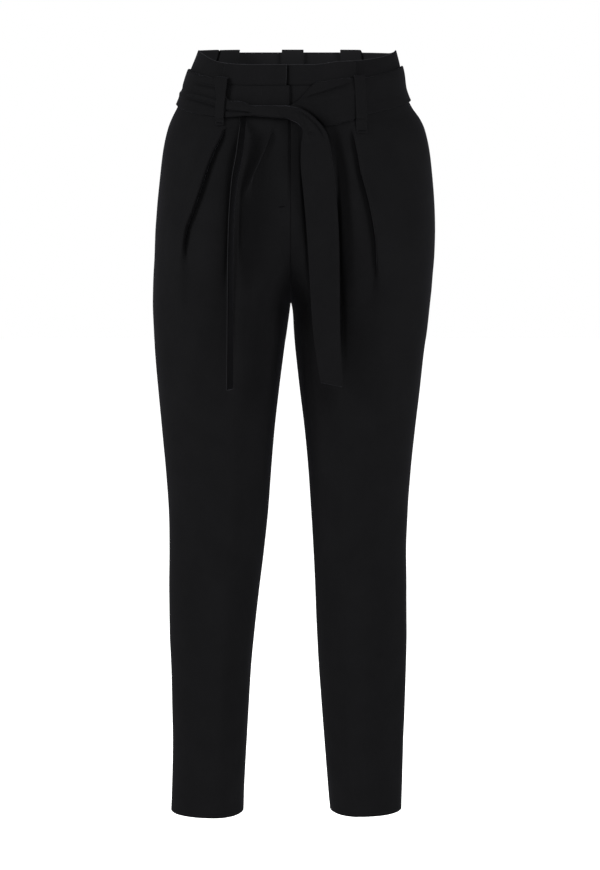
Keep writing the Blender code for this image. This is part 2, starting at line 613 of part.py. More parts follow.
def ribbon(name, table, material, across=4, between=2, slant=0.0):
    """A strip of sash swept along the stops of a table. slant is how much lower one corner of its end hangs than the
    other."""
    count = len(table)
    stations = []
    for k in range((count - 1) * between + 1):
        at = k / between
        values = [curve_through(range(count), [stop[j] for stop in table], at) for j in range(len(Ribbon._fields))]
        stations.append(Ribbon(*values))
    middles = np.array([[stop.x, stop.y, stop.z] for stop in stations])
    along = np.gradient(middles, axis=0)
    outer, inner = [], []
    for index, stop in enumerate(stations):
        direction = along[index] / np.linalg.norm(along[index])
        face = np.array([math.sin(math.radians(stop.roll)), -math.cos(math.radians(stop.roll)), 0.0])
        face -= direction * face.dot(direction)
        face /= np.linalg.norm(face)
        over = np.cross(face, direction)
        tip = slant * index / (len(stations) - 1)
        offsets = [(k / across - 0.5) * stop.width for k in range(across + 1)]
        crown = [RIBBON_CROWN * stop.thick * (1.0 - (2.0 * k / across - 1.0) ** 2) for k in range(across + 1)]
        row = [middles[index] + over * w + np.array([0, 0, -tip * w / stop.width]) for w in offsets]
        outer.append([point + face * (stop.thick / 2 + c / 2) for point, c in zip(row, crown)])
        inner.append([point - face * (stop.thick / 2 - c / 2) for point, c in zip(row, crown)])
    return wall(name, outer, inner, material)


def build():
    for old in list(bpy.data.objects):
        bpy.data.objects.remove(old, do_unlink=True)
    crepe = cloth_material("black_crepe", (0.012, 0.012, 0.013), 0.82)
    sash = cloth_material("black_crepe_sash", (0.014, 0.014, 0.015), 0.78)
    for side in ("right", "left"):
        for face in ("front", "back"):
            leg_panel(f"{face}_{side}", side, face, crepe)
        frill_front(f"frill_front_{side}", side, crepe)
    waistband(crepe)
    frill_back(crepe)
    belt_wrap(sash)
    belt_loops(crepe)
    ribbon("belt_knot", KNOT, sash)
    ribbon("belt_end_wide", WIDE_END, sash, slant=END_SLANT)
    ribbon("belt_end_narrow", NARROW_END, sash, across=3)


build()
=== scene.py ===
"""Paperbag waist trousers: the finished cloth, sewn over the plain solids, with the studio they stand in.

Sizes are in millimetres until a mesh is made. Z is up, the fronts face -Y, and "right" and "left" are the
wearer's: right is -X. Heights are those of the side seams; the waist dips in front of them and rises behind.
"""

import math
from collections import namedtuple
from functools import lru_cache

import bpy
import numpy as np
from bpy.props import FloatProperty, FloatVectorProperty, PointerProperty
from bpy.types import Operator, Panel, PropertyGroup
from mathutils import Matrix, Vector


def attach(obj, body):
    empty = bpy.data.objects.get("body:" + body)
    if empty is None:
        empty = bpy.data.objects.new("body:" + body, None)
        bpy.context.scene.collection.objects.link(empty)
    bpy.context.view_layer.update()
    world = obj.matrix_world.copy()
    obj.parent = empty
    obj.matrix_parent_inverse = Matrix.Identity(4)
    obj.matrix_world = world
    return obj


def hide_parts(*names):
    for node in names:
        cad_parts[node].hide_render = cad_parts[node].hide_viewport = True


bl_info = {
    "name": "Paperbag Waist Trousers",
    "version": (1, 0, 0),
    "blender": (4, 5, 0),
    "location": "3D View > Sidebar > Trousers",
    "description": "Dresses the solids of the paperbag waist trousers in finished cloth",
    "category": "Object",
}

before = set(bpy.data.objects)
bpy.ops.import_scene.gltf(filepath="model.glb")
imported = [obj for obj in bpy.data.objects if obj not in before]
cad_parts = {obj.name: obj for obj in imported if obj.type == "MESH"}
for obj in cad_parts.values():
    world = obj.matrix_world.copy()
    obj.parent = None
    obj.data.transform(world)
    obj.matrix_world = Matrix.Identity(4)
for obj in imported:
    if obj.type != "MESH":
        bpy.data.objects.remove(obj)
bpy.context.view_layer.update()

METRES = 0.001
RIGHT, LEFT = -1.0, 1.0
SIDES = {"right": RIGHT, "left": LEFT}

# ---------------------------------------------------------------- the cut

# One level of a leg. outer and inner are how far its side and its inside stand from the middle, each with the
# drift of both legs to one side; front and back are the depths of its fullest parts, and inseam is the depth
# at which they meet inside. Above the crotch inner lies past the middle, so cloth crosses it almost flat.
Section = namedtuple("Section", "z outer inner outer_drift inner_drift front back inseam")
SECTIONS = tuple(Section(*level) for level in (
    (52, 127.5, -400, 8.2, 0, -89, 97, 12),
    (46, 129.4, -400, 8.0, 0, -90, 97, 12),
    (22, 137.0, -400, 6.0, 0, -93.5, 97, 12),
    (0, 141.8, -400, 4.3, 0, -96, 98, 12),
    (-22, 151.3, -400, 4.8, 0, -99, 101, 12),
    (-39, 161.5, -400, 6.5, 0, -102, 105, 12),
    (-52, 166.8, -400, 7.0, 0, -104.5, 109, 12),
    (-78, 172.7, -390, 7.1, 0, -108, 118, 12),
    (-104, 176.0, -370, 7.0, 0, -111, 127, 12),
    (-155, 180.4, -290, 6.6, 0, -115, 139, 12),
    (-190, 181.7, -170, 5.6, 0, -116, 142, 12),
    (-215, 181.8, -86, 4.6, 0, -115, 140.5, 12),
    (-240, 181.6, -32, 2.8, 0, -113, 137, 12),
    (-260, 181.2, -9, 1.7, 0, -111, 132, 12),
    (-277, 180.5, 0.2, 0.6, 0, -109, 127.8, 12),
    (-285, 180.1, 1.7, 0.2, 0.3, -108, 126, 12.5),
    (-312, 178.2, 4.5, -0.8, -0.7, -105, 119, 13),
    (-338, 175.8, 7.3, -1.9, -1.6, -102, 113, 13),
    (-390, 171.0, 13.5, -2.6, -2.0, -97, 103, 11),
    (-443, 165.6, 19.7, -3.2, -1.8, -90, 96, 9),
    (-495, 160.6, 24.3, -3.5, -1.6, -83, 89, 8),
    (-548, 157.0, 28.0, -3.5, -1.8, -75, 82, 6),
    (-601, 155.8, 32.4, -4.2, -3.0, -67, 75, 5),
    (-654, 156.5, 36.9, -4.2, -5.0, -61, 71, 5),
    (-708, 156.5, 41.0, -3.8, -7.0, -58, 68, 5),
    (-761, 155.1, 44.9, -3.2, -8.0, -55, 65, 5),
    (-815, 153.7, 48.5, -3.4, -7.7, -54, 63, 4),
    (-868, 152.6, 52.1, -4.2, -7.2, -53, 60, 3),
    (-922, 152.7, 55.6, -5.6, -6.5, -53, 57, 2),
    (-948, 153.0, 57.2, -6.4, -5.6, -53, 55, 1),
))
MIDDLE_CLEAR = 0.2  # how near the middle a leg's inside may come
CROTCH = -277.0
FULLEST = 0.38  # where a leg is fullest, as a share of the way from its inside to its side
SIDE_DEPTH = 0.35  # where the side seam lies, as a share of front and back together
SIDE_ROUNDNESS = 0.58
FRONT_DROP, BACK_RISE = 18.0, 5.0  # how far the waist dips at the centre front and rises at the centre back
DROP_GONE, DROP_FULL = -200.0, -40.0  # the heights between which that comes in
DIP_SOFTNESS = 0.2

SEAM_GAP = 0.3
FRILL_TOP, BAND_TOP, BAND_BOTTOM = 46.0, 20.5, -10.0
HEM = {RIGHT: -948.0, LEFT: -946.0}

# A pleat's line gives the place of its fold by height, 0 at the side and 1 at the centre; rise gives how far
# it stands out; soft is the height at which its fold has opened into a soft roll.
Pleat = namedtuple("Pleat", "line rise soft")
OUTER_RISE = ((-32, 0.6), (-57, 4.5), (-129, 6.0), (-186, 6.0), (-230, 4.0), (-275, 1.5), (-320, 0.0))
MIDDLE_RISE = ((-32, 0.6), (-57, 2.8), (-141, 3.8), (-220, 2.6), (-280, 0.8), (-320, 0.0))
INNER_RISE = ((-32, 0.6), (-54, 3.6), (-80, 4.0), (-107, 2.8), (-145, 0.0))
PLEATS = {
    RIGHT: (
        Pleat(((-32, 0.468), (-50, 0.443), (-64, 0.416), (-95, 0.375), (-131, 0.333), (-156, 0.298),
               (-178, 0.264), (-204, 0.252), (-260, 0.250)), OUTER_RISE, -242),
        Pleat(((-32, 0.592), (-57, 0.576), (-73, 0.558), (-97, 0.551), (-260, 0.553)), MIDDLE_RISE, -20),
        Pleat(((-32, 0.862), (-48, 0.828), (-71, 0.782), (-94, 0.733), (-123, 0.694)), INNER_RISE, -150),
    ),
    LEFT: (
        Pleat(((-32, 0.540), (-48, 0.535), (-86, 0.522), (-120, 0.491), (-144, 0.470), (-165, 0.453),
               (-199, 0.429), (-260, 0.412)), OUTER_RISE, -270),
        Pleat(((-32, 0.665), (-57, 0.650), (-73, 0.633), (-97, 0.620), (-260, 0.600)), MIDDLE_RISE, -20),
        Pleat(((-32, 0.890), (-48, 0.860), (-71, 0.815), (-94, 0.768), (-123, 0.728)), INNER_RISE, -100),
    ),
}
PLEAT_RAMP = 48.0  # how wide the outer pleat's soft roll is
PLEAT_TUCK = 2.3  # how far the cloth is tucked back under a pleat's fold
PLEAT_OPENS = 60.0  # the height over which a fold opens
PLEAT_CREST, PLEAT_CREST_WIDTH = 1.5, 8.0  # the roll just before a fold stands a little higher
PLEAT_FOLDED = 2.5  # a pleat that stands out this far is folded right over
PLEAT_COLUMNS = (42, 16, 16)  # columns of cloth before each pleat
FOLD_RISES = np.array([0.82, 0.47, 0.12, 0.0])  # the heights of a fold's own columns, as parts of its pleat's
OPENED_FOLD = np.array([-3.0, 0.5, 4.0, 7.6])  # where they lie when it has opened
TIP_FOLDED, TIP_OPENED = 0.4, 6.0  # how far before the fold its roll ends
FOLD_AFTER = 1.2  # how far beyond the fold the cloth goes on flat
OPENING_WIDTH = 260.0  # a front narrower than this has less room for an opened fold
CENTRE_COLUMNS, BACK_COLUMNS = 22, 84

OVERLAP = 2.4  # the right front lies this far outside the left front at the centre
LAP_FROM, LAP_TO = 46.0, 27.0  # how far from the middle the right front begins and ends to rise over the left
UNDERLAP = 22.0
BAND_EDGE, FRILL_EDGE = 2.5, 6.4  # how far short of the middle the right front's waistband and frill end
BAND_LAYERS, BAND_CROWN = 1.6, 0.4
BAR_LINE, BAR_DEPTH, BAR_WIDTH = -37.8, 0.7, 1.2  # where the bar of the fastening shows through the waistband
UNDERLAP_PRESSED, PRESSED_WIDTH = 1.8, 2.0  # how far the left front is pressed in beside the right one's edge
FRILL_FOLD = {RIGHT: 0.340, LEFT: 0.430}
FRILL_PLATE = (0.3, 4.0)  # how far the frill's inner part stands over its outer one, at foot and top
FRILL_STEP, FRILL_TUCK = 3.6, 1.4
FRONT_FOLD_HANGS = np.array([0.2, 1.0, 1.1, 0.8])  # how far over each column of its fold hangs, in tucks
FRONT_FOLD_RISES = np.array([0.18, 0.55, 0.8, 0.96])  # and how far up it stands, as a part of the plate
FRILL_ROWS = 14
FOOT_LAYERS, TOP_LAYERS = 1.2, 1.8
BACK_PLEATS = (-89.0, 1.8, 82.5)
BACK_PLEAT_WIDTH, BACK_PLEAT_DEPTH, BACK_PLEAT_RISE = 27.0, 3.4, 3.5
FOLD_HANGS = np.array([0.3, 0.3, 0.42, 0.3])  # how far over each column of a box pleat's fold hangs, in steps
FOLD_DEPTHS = np.array([0.2, 0.5, 0.8, 0.98])  # and how deep it lies, as a part of the pleat's depth
# How much higher the frill stands beside the side seam, and between which shares of the front that fades.
Corner = namedtuple("Corner", "rise near far")
CORNERS = {RIGHT: Corner(4.0, 0.20, 0.50), LEFT: Corner(4.0, 0.68, 0.86)}
CORNER_BEHIND = 0.25  # the part of the back over which it fades

BELT_TOP, BELT_BOTTOM = 26.5, -19.8
SIDE_LIFT = (4.5, 6.0)  # how much higher the sash's edges ride over the left hip bone
LIFT_FROM, LIFT_TO = 0.85, 1.45
BELT_OFF, BELT_CLOTH, BELT_CROWN = 1.3, 2.4, 0.5
BELT_ROWS, BELT_WIDTH = 46, 46.0
BELT_EDGE = (0.0, 0.3, 0.7, 1.2, 1.9)  # distances from the sash's edge at which it has rows
BELT_ROUNDED, BELT_ROUNDED_WIDTH = 0.42, 0.55  # how deep, in thicknesses, and how wide its edges are rounded
INSIDE_CROWN, INSIDE_ROUNDED = 0.6, 0.8  # how much of the crown and of the rounding its inner face has
BELT_COLUMN, BELT_ROUND_BACK = 1.1, 190  # the width of a column in front, and the number of columns behind
# The sash in front: x, top, bottom, how far off the waistband it lies and how thick it is.
BELT_LEFT_FRONT = (
    (-54.5, -8.0, -15.0, 2.8, 2.2),
    (-30, -8.0, -17.0, 2.8, 2.2),
    (-4, -6.0, -19.0, 2.8, 1.6),
    (8, 0.0, -24.0, 2.0, 1.1),
    (20, 12.0, -29.0, 1.0, 1.2),
    (32, 23.5, -31.5, 1.0, 1.6),
    (44, 25.4, -30.5, 1.5, 2.2),
    (62, 28.2, -26.0, 2.0, BELT_CLOTH),
    (74, 29.0, -22.8, 1.9, 2.2),
    (82, 29.0, -20.2, 1.9, 2.2),
    (89, 28.5, -18.2, 1.5, 2.3),
    (99, 28.2, -16.6, BELT_OFF, BELT_CLOTH),
    (110, 29.6, -15.2, BELT_OFF, BELT_CLOTH),
    (125, BELT_TOP + SIDE_LIFT[0], BELT_BOTTOM + SIDE_LIFT[1], BELT_OFF, BELT_CLOTH),
)
BELT_RIGHT_FRONT = (
    (-100, BELT_TOP, BELT_BOTTOM, BELT_OFF, BELT_CLOTH),
    (-92, 26.0, -20.0, BELT_OFF, BELT_CLOTH),
    (-88.5, 22.5, -20.3, BELT_OFF, BELT_CLOTH),
    (-84.5, 12.0, -20.5, BELT_OFF, BELT_CLOTH),
    (-80, 3.0, -20.5, BELT_OFF, BELT_CLOTH),
    (-76, 0.8, -20.2, 2.0, 2.5),
    (-70, 0.0, -19.4, 3.8, 3.0),
    (-62, -0.4, -18.4, 5.2, 3.4),
    (-53, -3.4, -17.6, 5.6, 3.4),
    (-47, -5.2, -17.6, 5.6, 3.4),
    (-30, -5.4, -19.2, 5.6, 3.4),
    (-13, -5.5, -20.8, 5.6, 3.3),
    (-4, -5.8, -21.2, 5.0, 1.5),
)

Loop = namedtuple("Loop", "name face top_x foot_x width over foot")
LOOPS = (
    Loop("belt_loop_front_right", "front", -84.0, -89.0, 10.0, BELT_TOP, -30.5),
    Loop("belt_loop_front_left", "front", 85.0, 89.0, 12.0, 29.2, -40.0),
    Loop("belt_loop_back_right", "back", -89.0, -92.0, 12.0, BELT_TOP, -33.0),
    Loop("belt_loop_back_centre", "back", 1.8, 1.8, 12.0, BELT_TOP, -33.0),
    Loop("belt_loop_back_left", "back", 82.5, 86.0, 12.0, BELT_TOP, -33.0),
)
LOOP_CLOTH, LOOP_SEAT, LOOP_HOOK, LOOP_CLEAR, LOOP_BEND = 1.8, 0.6, 2.2, 0.8, 7.0
LOOP_COLUMNS = np.array([-0.5, -0.47, -0.42, -0.3, -0.15, 0.0, 0.15, 0.3, 0.42, 0.47, 0.5])
LOOP_ROW = 1.3
LOOP_STITCHED = (0.22, 1.6, 0.5)  # the groove of its edge stitching: depth, place from the edge and width
LOOP_FLARE = {"belt_loop_front_right": 0.45}  # how much wider a pulled loop is at its top
FLARE_FROM, FLARE_LENGTH, FLARE_SHIFT = 24.0, 22.0, 0.3

# Stops along the knot and the two ends: x, y, z, width, thickness and how far the cloth's face is turned, in
# degrees from the front.
KNOT = (
    (-22.0, -103.9, -30.4, 12.6, 1.8, 0),
    (-12.5, -105.1, -31.1, 15.0, 3.7, 0),
    (-3, -107.0, -31.8, 15.5, 5.0, 0),
    (6, -109.0, -34.4, 17.0, 6.0, 0),
    (15, -110.8, -39.0, 18.0, 6.0, 0),
    (23, -112.4, -46.0, 20.5, 5.6, 0),
    (28, -113.8, -55.0, 27.0, 4.8, 0),
    (30.6, -115.2, -65.0, 33.0, 4.0, 0),
    (31.0, -116.0, -70.0, 34.6, 3.2, 0),
    (31.4, -116.1, -77.0, 35.6, 1.4, 0),
)
WIDE_END = (
    (30.7, -115.2, -65.0, 31.6, 2.6, 0),
    (31.2, -116.2, -71.0, 35.3, 3.3, 0),
    (31.6, -117.4, -80.0, 37.5, 2.8, -2),
    (33.0, -119.8, -100.0, 40.5, 2.4, -6),
    (37.0, -123.0, -140.0, 41.5, 2.4, -12),
    (40.6, -125.5, -190.0, 42.0, 2.4, -20),
    (42.6, -127.0, -240.0, 42.0, 2.4, -28),
    (45.0, -127.5, -300.0, 42.0, 2.4, -36),
    (49.0, -127.0, -345.0, 41.0, 2.4, -42),
    (52.0, -126.5, -373.0, 39.0, 2.4, -44),
)
NARROW_END = (
    (-60.0, -98.7, -24.0, 8.0, 1.5, 0),
    (-60.2, -100.6, -37.5, 8.4, 1.5, 10),
    (-60.4, -105.0, -46.0, 10.0, 1.8, 40),
    (-61.6, -114.4, -60.0, 15.0, 2.1, 62),
    (-64.4, -121.4, -85.0, 20.0, 2.3, 70),
    (-70.5, -126.2, -120.0, 22.0, 2.4, 74),
    (-74.5, -128.8, -170.0, 22.5, 2.4, 76),
    (-76.0, -129.6, -220.0, 23.0, 2.4, 76),
    (-76.8, -129.6, -280.0, 23.0, 2.4, 75),
    (-77.0, -128.8, -335.0, 23.0, 2.4, 73),
    (-77.0, -128.2, -379.0, 21.0, 2.4, 70),
)
END_SLANT = 6.0  # how much lower one corner of the wide end hangs
RIBBON_EDGE = np.array([0.0, 0.02, 0.05])  # columns beside a strip's edge, as shares of its width
RIBBON_CROWN, RIBBON_ROUNDED = 0.175, 0.75
RIBBON_WAVES = 9.0  # how fast a strip's edges wave along it
EDGE_SOFT = 0.5  # how wide the rounding of a folded edge is

# ---------------------------------------------------------------- sewing

SEAM_TURN = (8.0, 3.5, 1.4)  # a seam allowance, by how far each row of it lies inside the cloth's face
SEAM_ROLL, SEAM_ROLL_WIDTH = 0.7, 1.5  # how cloth rounds off into a seam
SEAM_PRESSED = (1.6, 0.8, 0.2)  # how far each row of an allowance is pressed to one side, over the other one
SEAM_STEPS = (0.0, 0.5, 1.1, 1.9, 3.0, 4.6)  # distances from a seam at which it has columns or rows
LEG_ROW = 3.2
HEM_DEPTH, HEM_FOLD = 34.0, 1.5
CENTRE_ROLL, CROTCH_ROLL, CROTCH_FADE = 0.05, 0.45, 45.0
RUMPLED = 0.6  # how far the slow unevenness of the legs moves them
CALM, CALM_BELOW_BAND = 12.0, 25.0  # how near a seam the cloth begins to lie smooth
FLY_FOOT, FLY_SOFT = -150.0, 30.0
FLY_LAP, FLY_EDGE = 1.0, 2.6  # how far the fly's edge stands out, and how far it ends before the centre
FLY_FROM, FLY_WIDTH = 0.86, 0.1
FLY_STARTS, FLY_STEP = FLY_EDGE - 0.5, 0.9  # where the fly's edge begins, and how wide its step is
THREAD, TACK_HEIGHT = 0.55, 1.5
THREAD_RISE, TACK_SUNK = 0.55, 0.25  # how far a thread stands up, in its thicknesses, and a tack's inner face
TACK_SHORTER = 3.0  # how much narrower than its loop a tack is
FLY_TACK = (-11.1, -145.0, 0.35, 7.0, 1.6, 1.5)  # its x and z, how far off it lies, width, height and slope
LOOP_TACK = 2.6  # how far above a loop's foot it is tacked
LOOP_ROUNDED = 0.18  # how far its edges are rounded off, in thicknesses

# ---------------------------------------------------------------- creases

# A soft ridge (depth above 0) or trough along a line seen from the front or back: x and z of its two ends,
# bow, width, depth and lean. bow is how far the line's middle lies to the right of its chord, looking along
# it; lean makes one side of it steeper.
FRONT_CREASES = {
    RIGHT: (
        (-150, -70, -166, -330, 6, 17, 1.6, 0.0),
        (-118, -250, -128, -560, -5, 22, 1.8, 0.2),
        (-60, -170, -72, -420, 4, 16, -1.6, 0.0),
        (-5.5, -184, -5.0, -236, 0, 2.2, -1.4, 0.3),
        (-64, -85, -74, -395, 1.5, 4.6, -3.4, 0.2),
        (-67, -90, -86, -385, 3, 2.2, -1.2, 0.0),
        (-26, -235, -58, -330, -5, 12, -2.4, 0.2),
        (-12, -262, -52, -440, 6, 12, 1.4, 0.0),
        (-120, -560, -112, -650, 4, 14, -1.0, 0.2),
        (-138, -600, -104, -620, 3, 9, 0.9, 0.1),
        (-142, -655, -110, -668, -3, 8, -1.0, 0.2),
        (-100, -620, -104, -930, -3, 17, 1.5, 0.0),
        (-142, -735, -138, -930, 3, 10, 1.2, 0.2),
        (-72, -700, -84, -900, 3, 12, -1.0, 0.0),
    ),
    LEFT: (
        (152, -70, 168, -300, -6, 17, 1.4, 0.0),
        (122, -250, 118, -560, 6, 23, 1.8, -0.2),
        (60, -180, 68, -430, -4, 17, -1.5, 0.0),
        (55, -60, 67, -400, -1, 4.2, -4.8, 0.2),
        (12, -40, 36, -392, 2.5, 2.6, -3.8, 0.0),
        (2, -22, 52, -78, -10, 2.0, -2.0, 0.3),
        (22, -232, 56, -350, 5, 12, -2.2, -0.2),
        (10, -262, 46, -430, -6, 11, 1.4, 0.0),
        (62, -590, 94, -600, -3, 9, -0.9, 0.2),
        (58, -640, 100, -668, 3, 10, 0.9, 0.0),
        (96, -620, 99, -930, 3, 17, 1.4, 0.0),
        (132, -700, 128, -910, -3, 11, -1.0, 0.0),
        (66, -760, 74, -920, -3, 10, 1.0, 0.0),
    ),
}
BACK_CREASES = {
    RIGHT: (
        (-92, -60, -104, -250, 6, 22, 1.5, 0.0),
        (-24, -236, -92, -310, 8, 13, -2.6, 0.2),
        (-18, -262, -84, -372, 8, 13, 2.0, 0.1),
        (-146, -250, -96, -330, -6, 16, -1.6, 0.0),
        (-64, -350, -78, -560, 5, 15, -1.6, 0.0),
        (-112, -330, -118, -600, -4, 20, 1.6, 0.0),
        (-138, -596, -66, -622, 5, 9, -1.8, 0.2),
        (-132, -632, -62, -646, -4, 9, 1.4, 0.1),
        (-134, -668, -76, -690, 4, 9, -1.5, 0.2),
        (-100, -680, -104, -930, 4, 17, 1.4, 0.0),
        (-128, -790, -120, -930, -3, 11, -1.0, 0.0),
    ),
    LEFT: (
        (96, -60, 110, -250, -6, 22, 1.5, 0.0),
        (24, -238, 96, -318, -8, 13, -2.6, -0.2),
        (18, -264, 80, -362, -8, 13, 2.0, -0.1),
        (150, -258, 104, -340, 6, 16, -1.5, 0.0),
        (62, -360, 76, -540, -5, 15, -1.5, 0.0),
        (110, -330, 118, -590, 4, 20, 1.6, 0.0),
        (140, -606, 62, -624, -5, 9, -1.7, -0.2),
        (128, -642, 60, -652, 4, 9, 1.4, -0.1),
        (136, -676, 72, -700, -4, 9, -1.5, -0.2),
        (96, -690, 100, -930, -4, 17, 1.4, 0.0),
        (70, -780, 76, -930, 3, 11, -1.0, 0.0),
    ),
}
BELT_CREASES = {
    RIGHT: (
        (-124, 9.0, -82, 0.2, 0.8, 2.3, -3.0, 0.4),
        (-146, -4, -84, -21, -2.4, 3.0, 2.8, 0.1),
        (-134, -10, -84, -26, -1.0, 2.1, -2.8, 0.3),
        (-150, 4, -112, -1, 1.0, 3.2, -0.6, 0.0),
        (-124, 18, -98, 14, 1.0, 3.5, 0.5, 0.0),
        (-85, -27.4, -46, -32.6, 0.6, 1.3, -3.0, 0.2),
        (-82, -34.6, -52, -33.0, -0.5, 0.7, 0.5, 0.0),
        (-80, -21.5, -50, -25.5, 0.8, 1.8, 0.7, 0.0),
        (-52, -27.0, -16, -26.0, 0.8, 1.6, 0.5, 0.0),
    ),
    LEFT: (
        (12, -15.0, 82, 8.0, 1.2, 2.4, -3.0, 0.5),
        (26, -18, 92, -1, 1.5, 4.2, 1.0, 0.0),
        (30, -38, 66, -33, 1.0, 2.2, 0.5, 0.0),
        (2, -21, 52, -76, -10, 2.0, -2.8, 0.3),
        (104, 10, 140, 20, 1.0, 3.6, 0.5, 0.0),
        (98, -16, 140, -10, -1.0, 3.2, -0.5, 0.0),
    ),
}
KNOT_CREASES = (
    (2, -28.0, 45, -71, -7.8, 1.4, -2.0, 0.2),
    (-3, -26.0, 23, -74, -7.0, 2.6, 1.6, 0.1),
    (-12, -39.5, 17, -74, -6.0, 1.8, -1.9, 0.2),
    (16, -57, 38, -58.5, 0.6, 1.6, -1.2, 0.0),
    (24, -62, 27, -78, 0.4, 2.0, 0.5, 0.0),
)
END_CREASES = (
    (26, -84, 33, -180, 1.5, 5, 0.6, 0.0),
    (44, -110, 50, -230, -1.5, 6, -0.6, 0.0),
    (38, -240, 47, -340, 1.5, 7, 0.6, 0.0),
)

# ---------------------------------------------------------------- the studio

CAMERA_PLACE = (0.01179, -3.58343, -0.10429)
CAMERA_AIM = (0.01179, 0.0, -0.44933)
CAMERA_LENS = 113.714
FLOOR = -1.30
FLOOR_REACH, FLOOR_RINGS, FLOOR_SPOKES = 16.0, 11, 48
ROOM_TO_SURROUND = (-0.3, 0.5)  # from which direction to which the light grows, -1 before and 1 behind
LAMPS = {  # where each lamp stands and the size of its soft box
    "front_lamp": ((-3.3, -1.6, 0.9), (1.3, 1.8)),
    "side_lamp": ((3.2, -1.8, 0.8), (1.3, 1.8)),
    "fill_lamp": ((1.0, -3.3, 1.7), (2.0, 1.4)),
}


# ---------------------------------------------------------------- settings


class TROUSERS_PG_cloth(PropertyGroup):
    thickness: FloatProperty(
        name="Cloth Thickness", default=0.9, min=0.3, max=1.8,
        description="Thickness of one layer of the crepe")
    crease_depth: FloatProperty(
        name="Crease Depth", default=1.0, min=0.0, max=2.0, subtype="FACTOR",
        description="How deep the creases are, as a part of their own sizes")
    grain: FloatProperty(
        name="Grain Size", default=0.0009, min=0.0002, max=0.005, precision=5, unit="LENGTH",
        description="Width of one grain of the crepe")
    colour: FloatVectorProperty(
        name="Cloth Colour", default=(0.0028, 0.0028, 0.0030), size=3, min=0.0, max=1.0, subtype="COLOR",
        description="Colour of the crepe")
    sheen: FloatProperty(
        name="Sheen", default=0.021, min=0.0, max=1.0, subtype="FACTOR",
        description="How much light the cloth's fine hairs catch")


class TROUSERS_PG_studio(PropertyGroup):
    surround: FloatProperty(
        name="Surround", default=1.0, min=0.0, max=4.0,
        description="Strength of the light from the white cloth behind")
    room: FloatProperty(
        name="Room", default=0.50, min=0.0, max=4.0,
        description="Strength of the light from the room before the trousers")
    front_lamp: FloatProperty(
        name="Front Lamp", default=320.0, min=0.0, max=1000.0,
        description="Power of the broad lamp before the right side, in watts")
    side_lamp: FloatProperty(
        name="Side Lamp", default=240.0, min=0.0, max=1000.0,
        description="Power of the lamp before the left side, in watts")
    fill_lamp: FloatProperty(
        name="Fill Lamp", default=60.0, min=0.0, max=1000.0,
        description="Power of the broad lamp high before the trousers, in watts")
    floor: FloatVectorProperty(
        name="Floor Colour", default=(0.985, 0.985, 0.985), size=3, min=0.0, max=1.0, subtype="COLOR",
        description="Colour of the pale floor")
    floor_glow: FloatProperty(
        name="Floor Glow", default=0.4, min=0.0, max=4.0,
        description="How brightly the floor is lit from below")


def cloth_settings():
    return bpy.context.scene.trousers_cloth


# ---------------------------------------------------------------- curves and places


def smooth(t):
    """An easy step from 0 to 1 while t goes from 0 to 1."""
    t = np.clip(t, 0.0, 1.0)
    return t * t * (3.0 - 2.0 * t)


def bell(distance, width):
    """1 at no distance, and nearly gone at twice the width."""
    return np.exp(-(distance / width) ** 2)


def unit(vectors):
    """Vectors brought to a length of one."""
    return vectors / np.maximum(np.linalg.norm(vectors, axis=-1, keepdims=True), 1e-9)


def curve_through(knots, values, at):
    """A smooth curve through the knots that never overshoots them, read at one place or many; knots rise."""
    knots, values = np.asarray(knots, float), np.asarray(values, float)
    step = np.diff(knots)
    rise = np.diff(values) / step
    both, total = rise[:-1] * rise[1:], rise[:-1] + rise[1:]
    between = np.where(both > 0, 2 * both / np.where(total == 0, 1, total), 0)
    slope = np.concatenate([rise[:1], between, rise[-1:]])
    at = np.clip(at, knots[0], knots[-1])
    i = np.clip(np.searchsorted(knots, at, side="right") - 1, 0, len(step) - 1)
    t = (at - knots[i]) / step[i]
    near = (1 + 2 * t) * (1 - t) ** 2 * values[i] + t * (1 - t) ** 2 * step[i] * slope[i]
    far = t * t * (3 - 2 * t) * values[i + 1] - t * t * (1 - t) * step[i] * slope[i + 1]
    return near + far


def by_height(table, z):
    """A (height, value) table, highest first, read at z."""
    heights, values = zip(*table[::-1])
    return float(curve_through(heights, values, z))


LEVEL_STEP = 2.0
SHARE_STEPS = 400
CURVE_STEPS = 90
Body = namedtuple("Body", "lowest p y n_p n_y depth length outer inside outer_drift inner_drift")


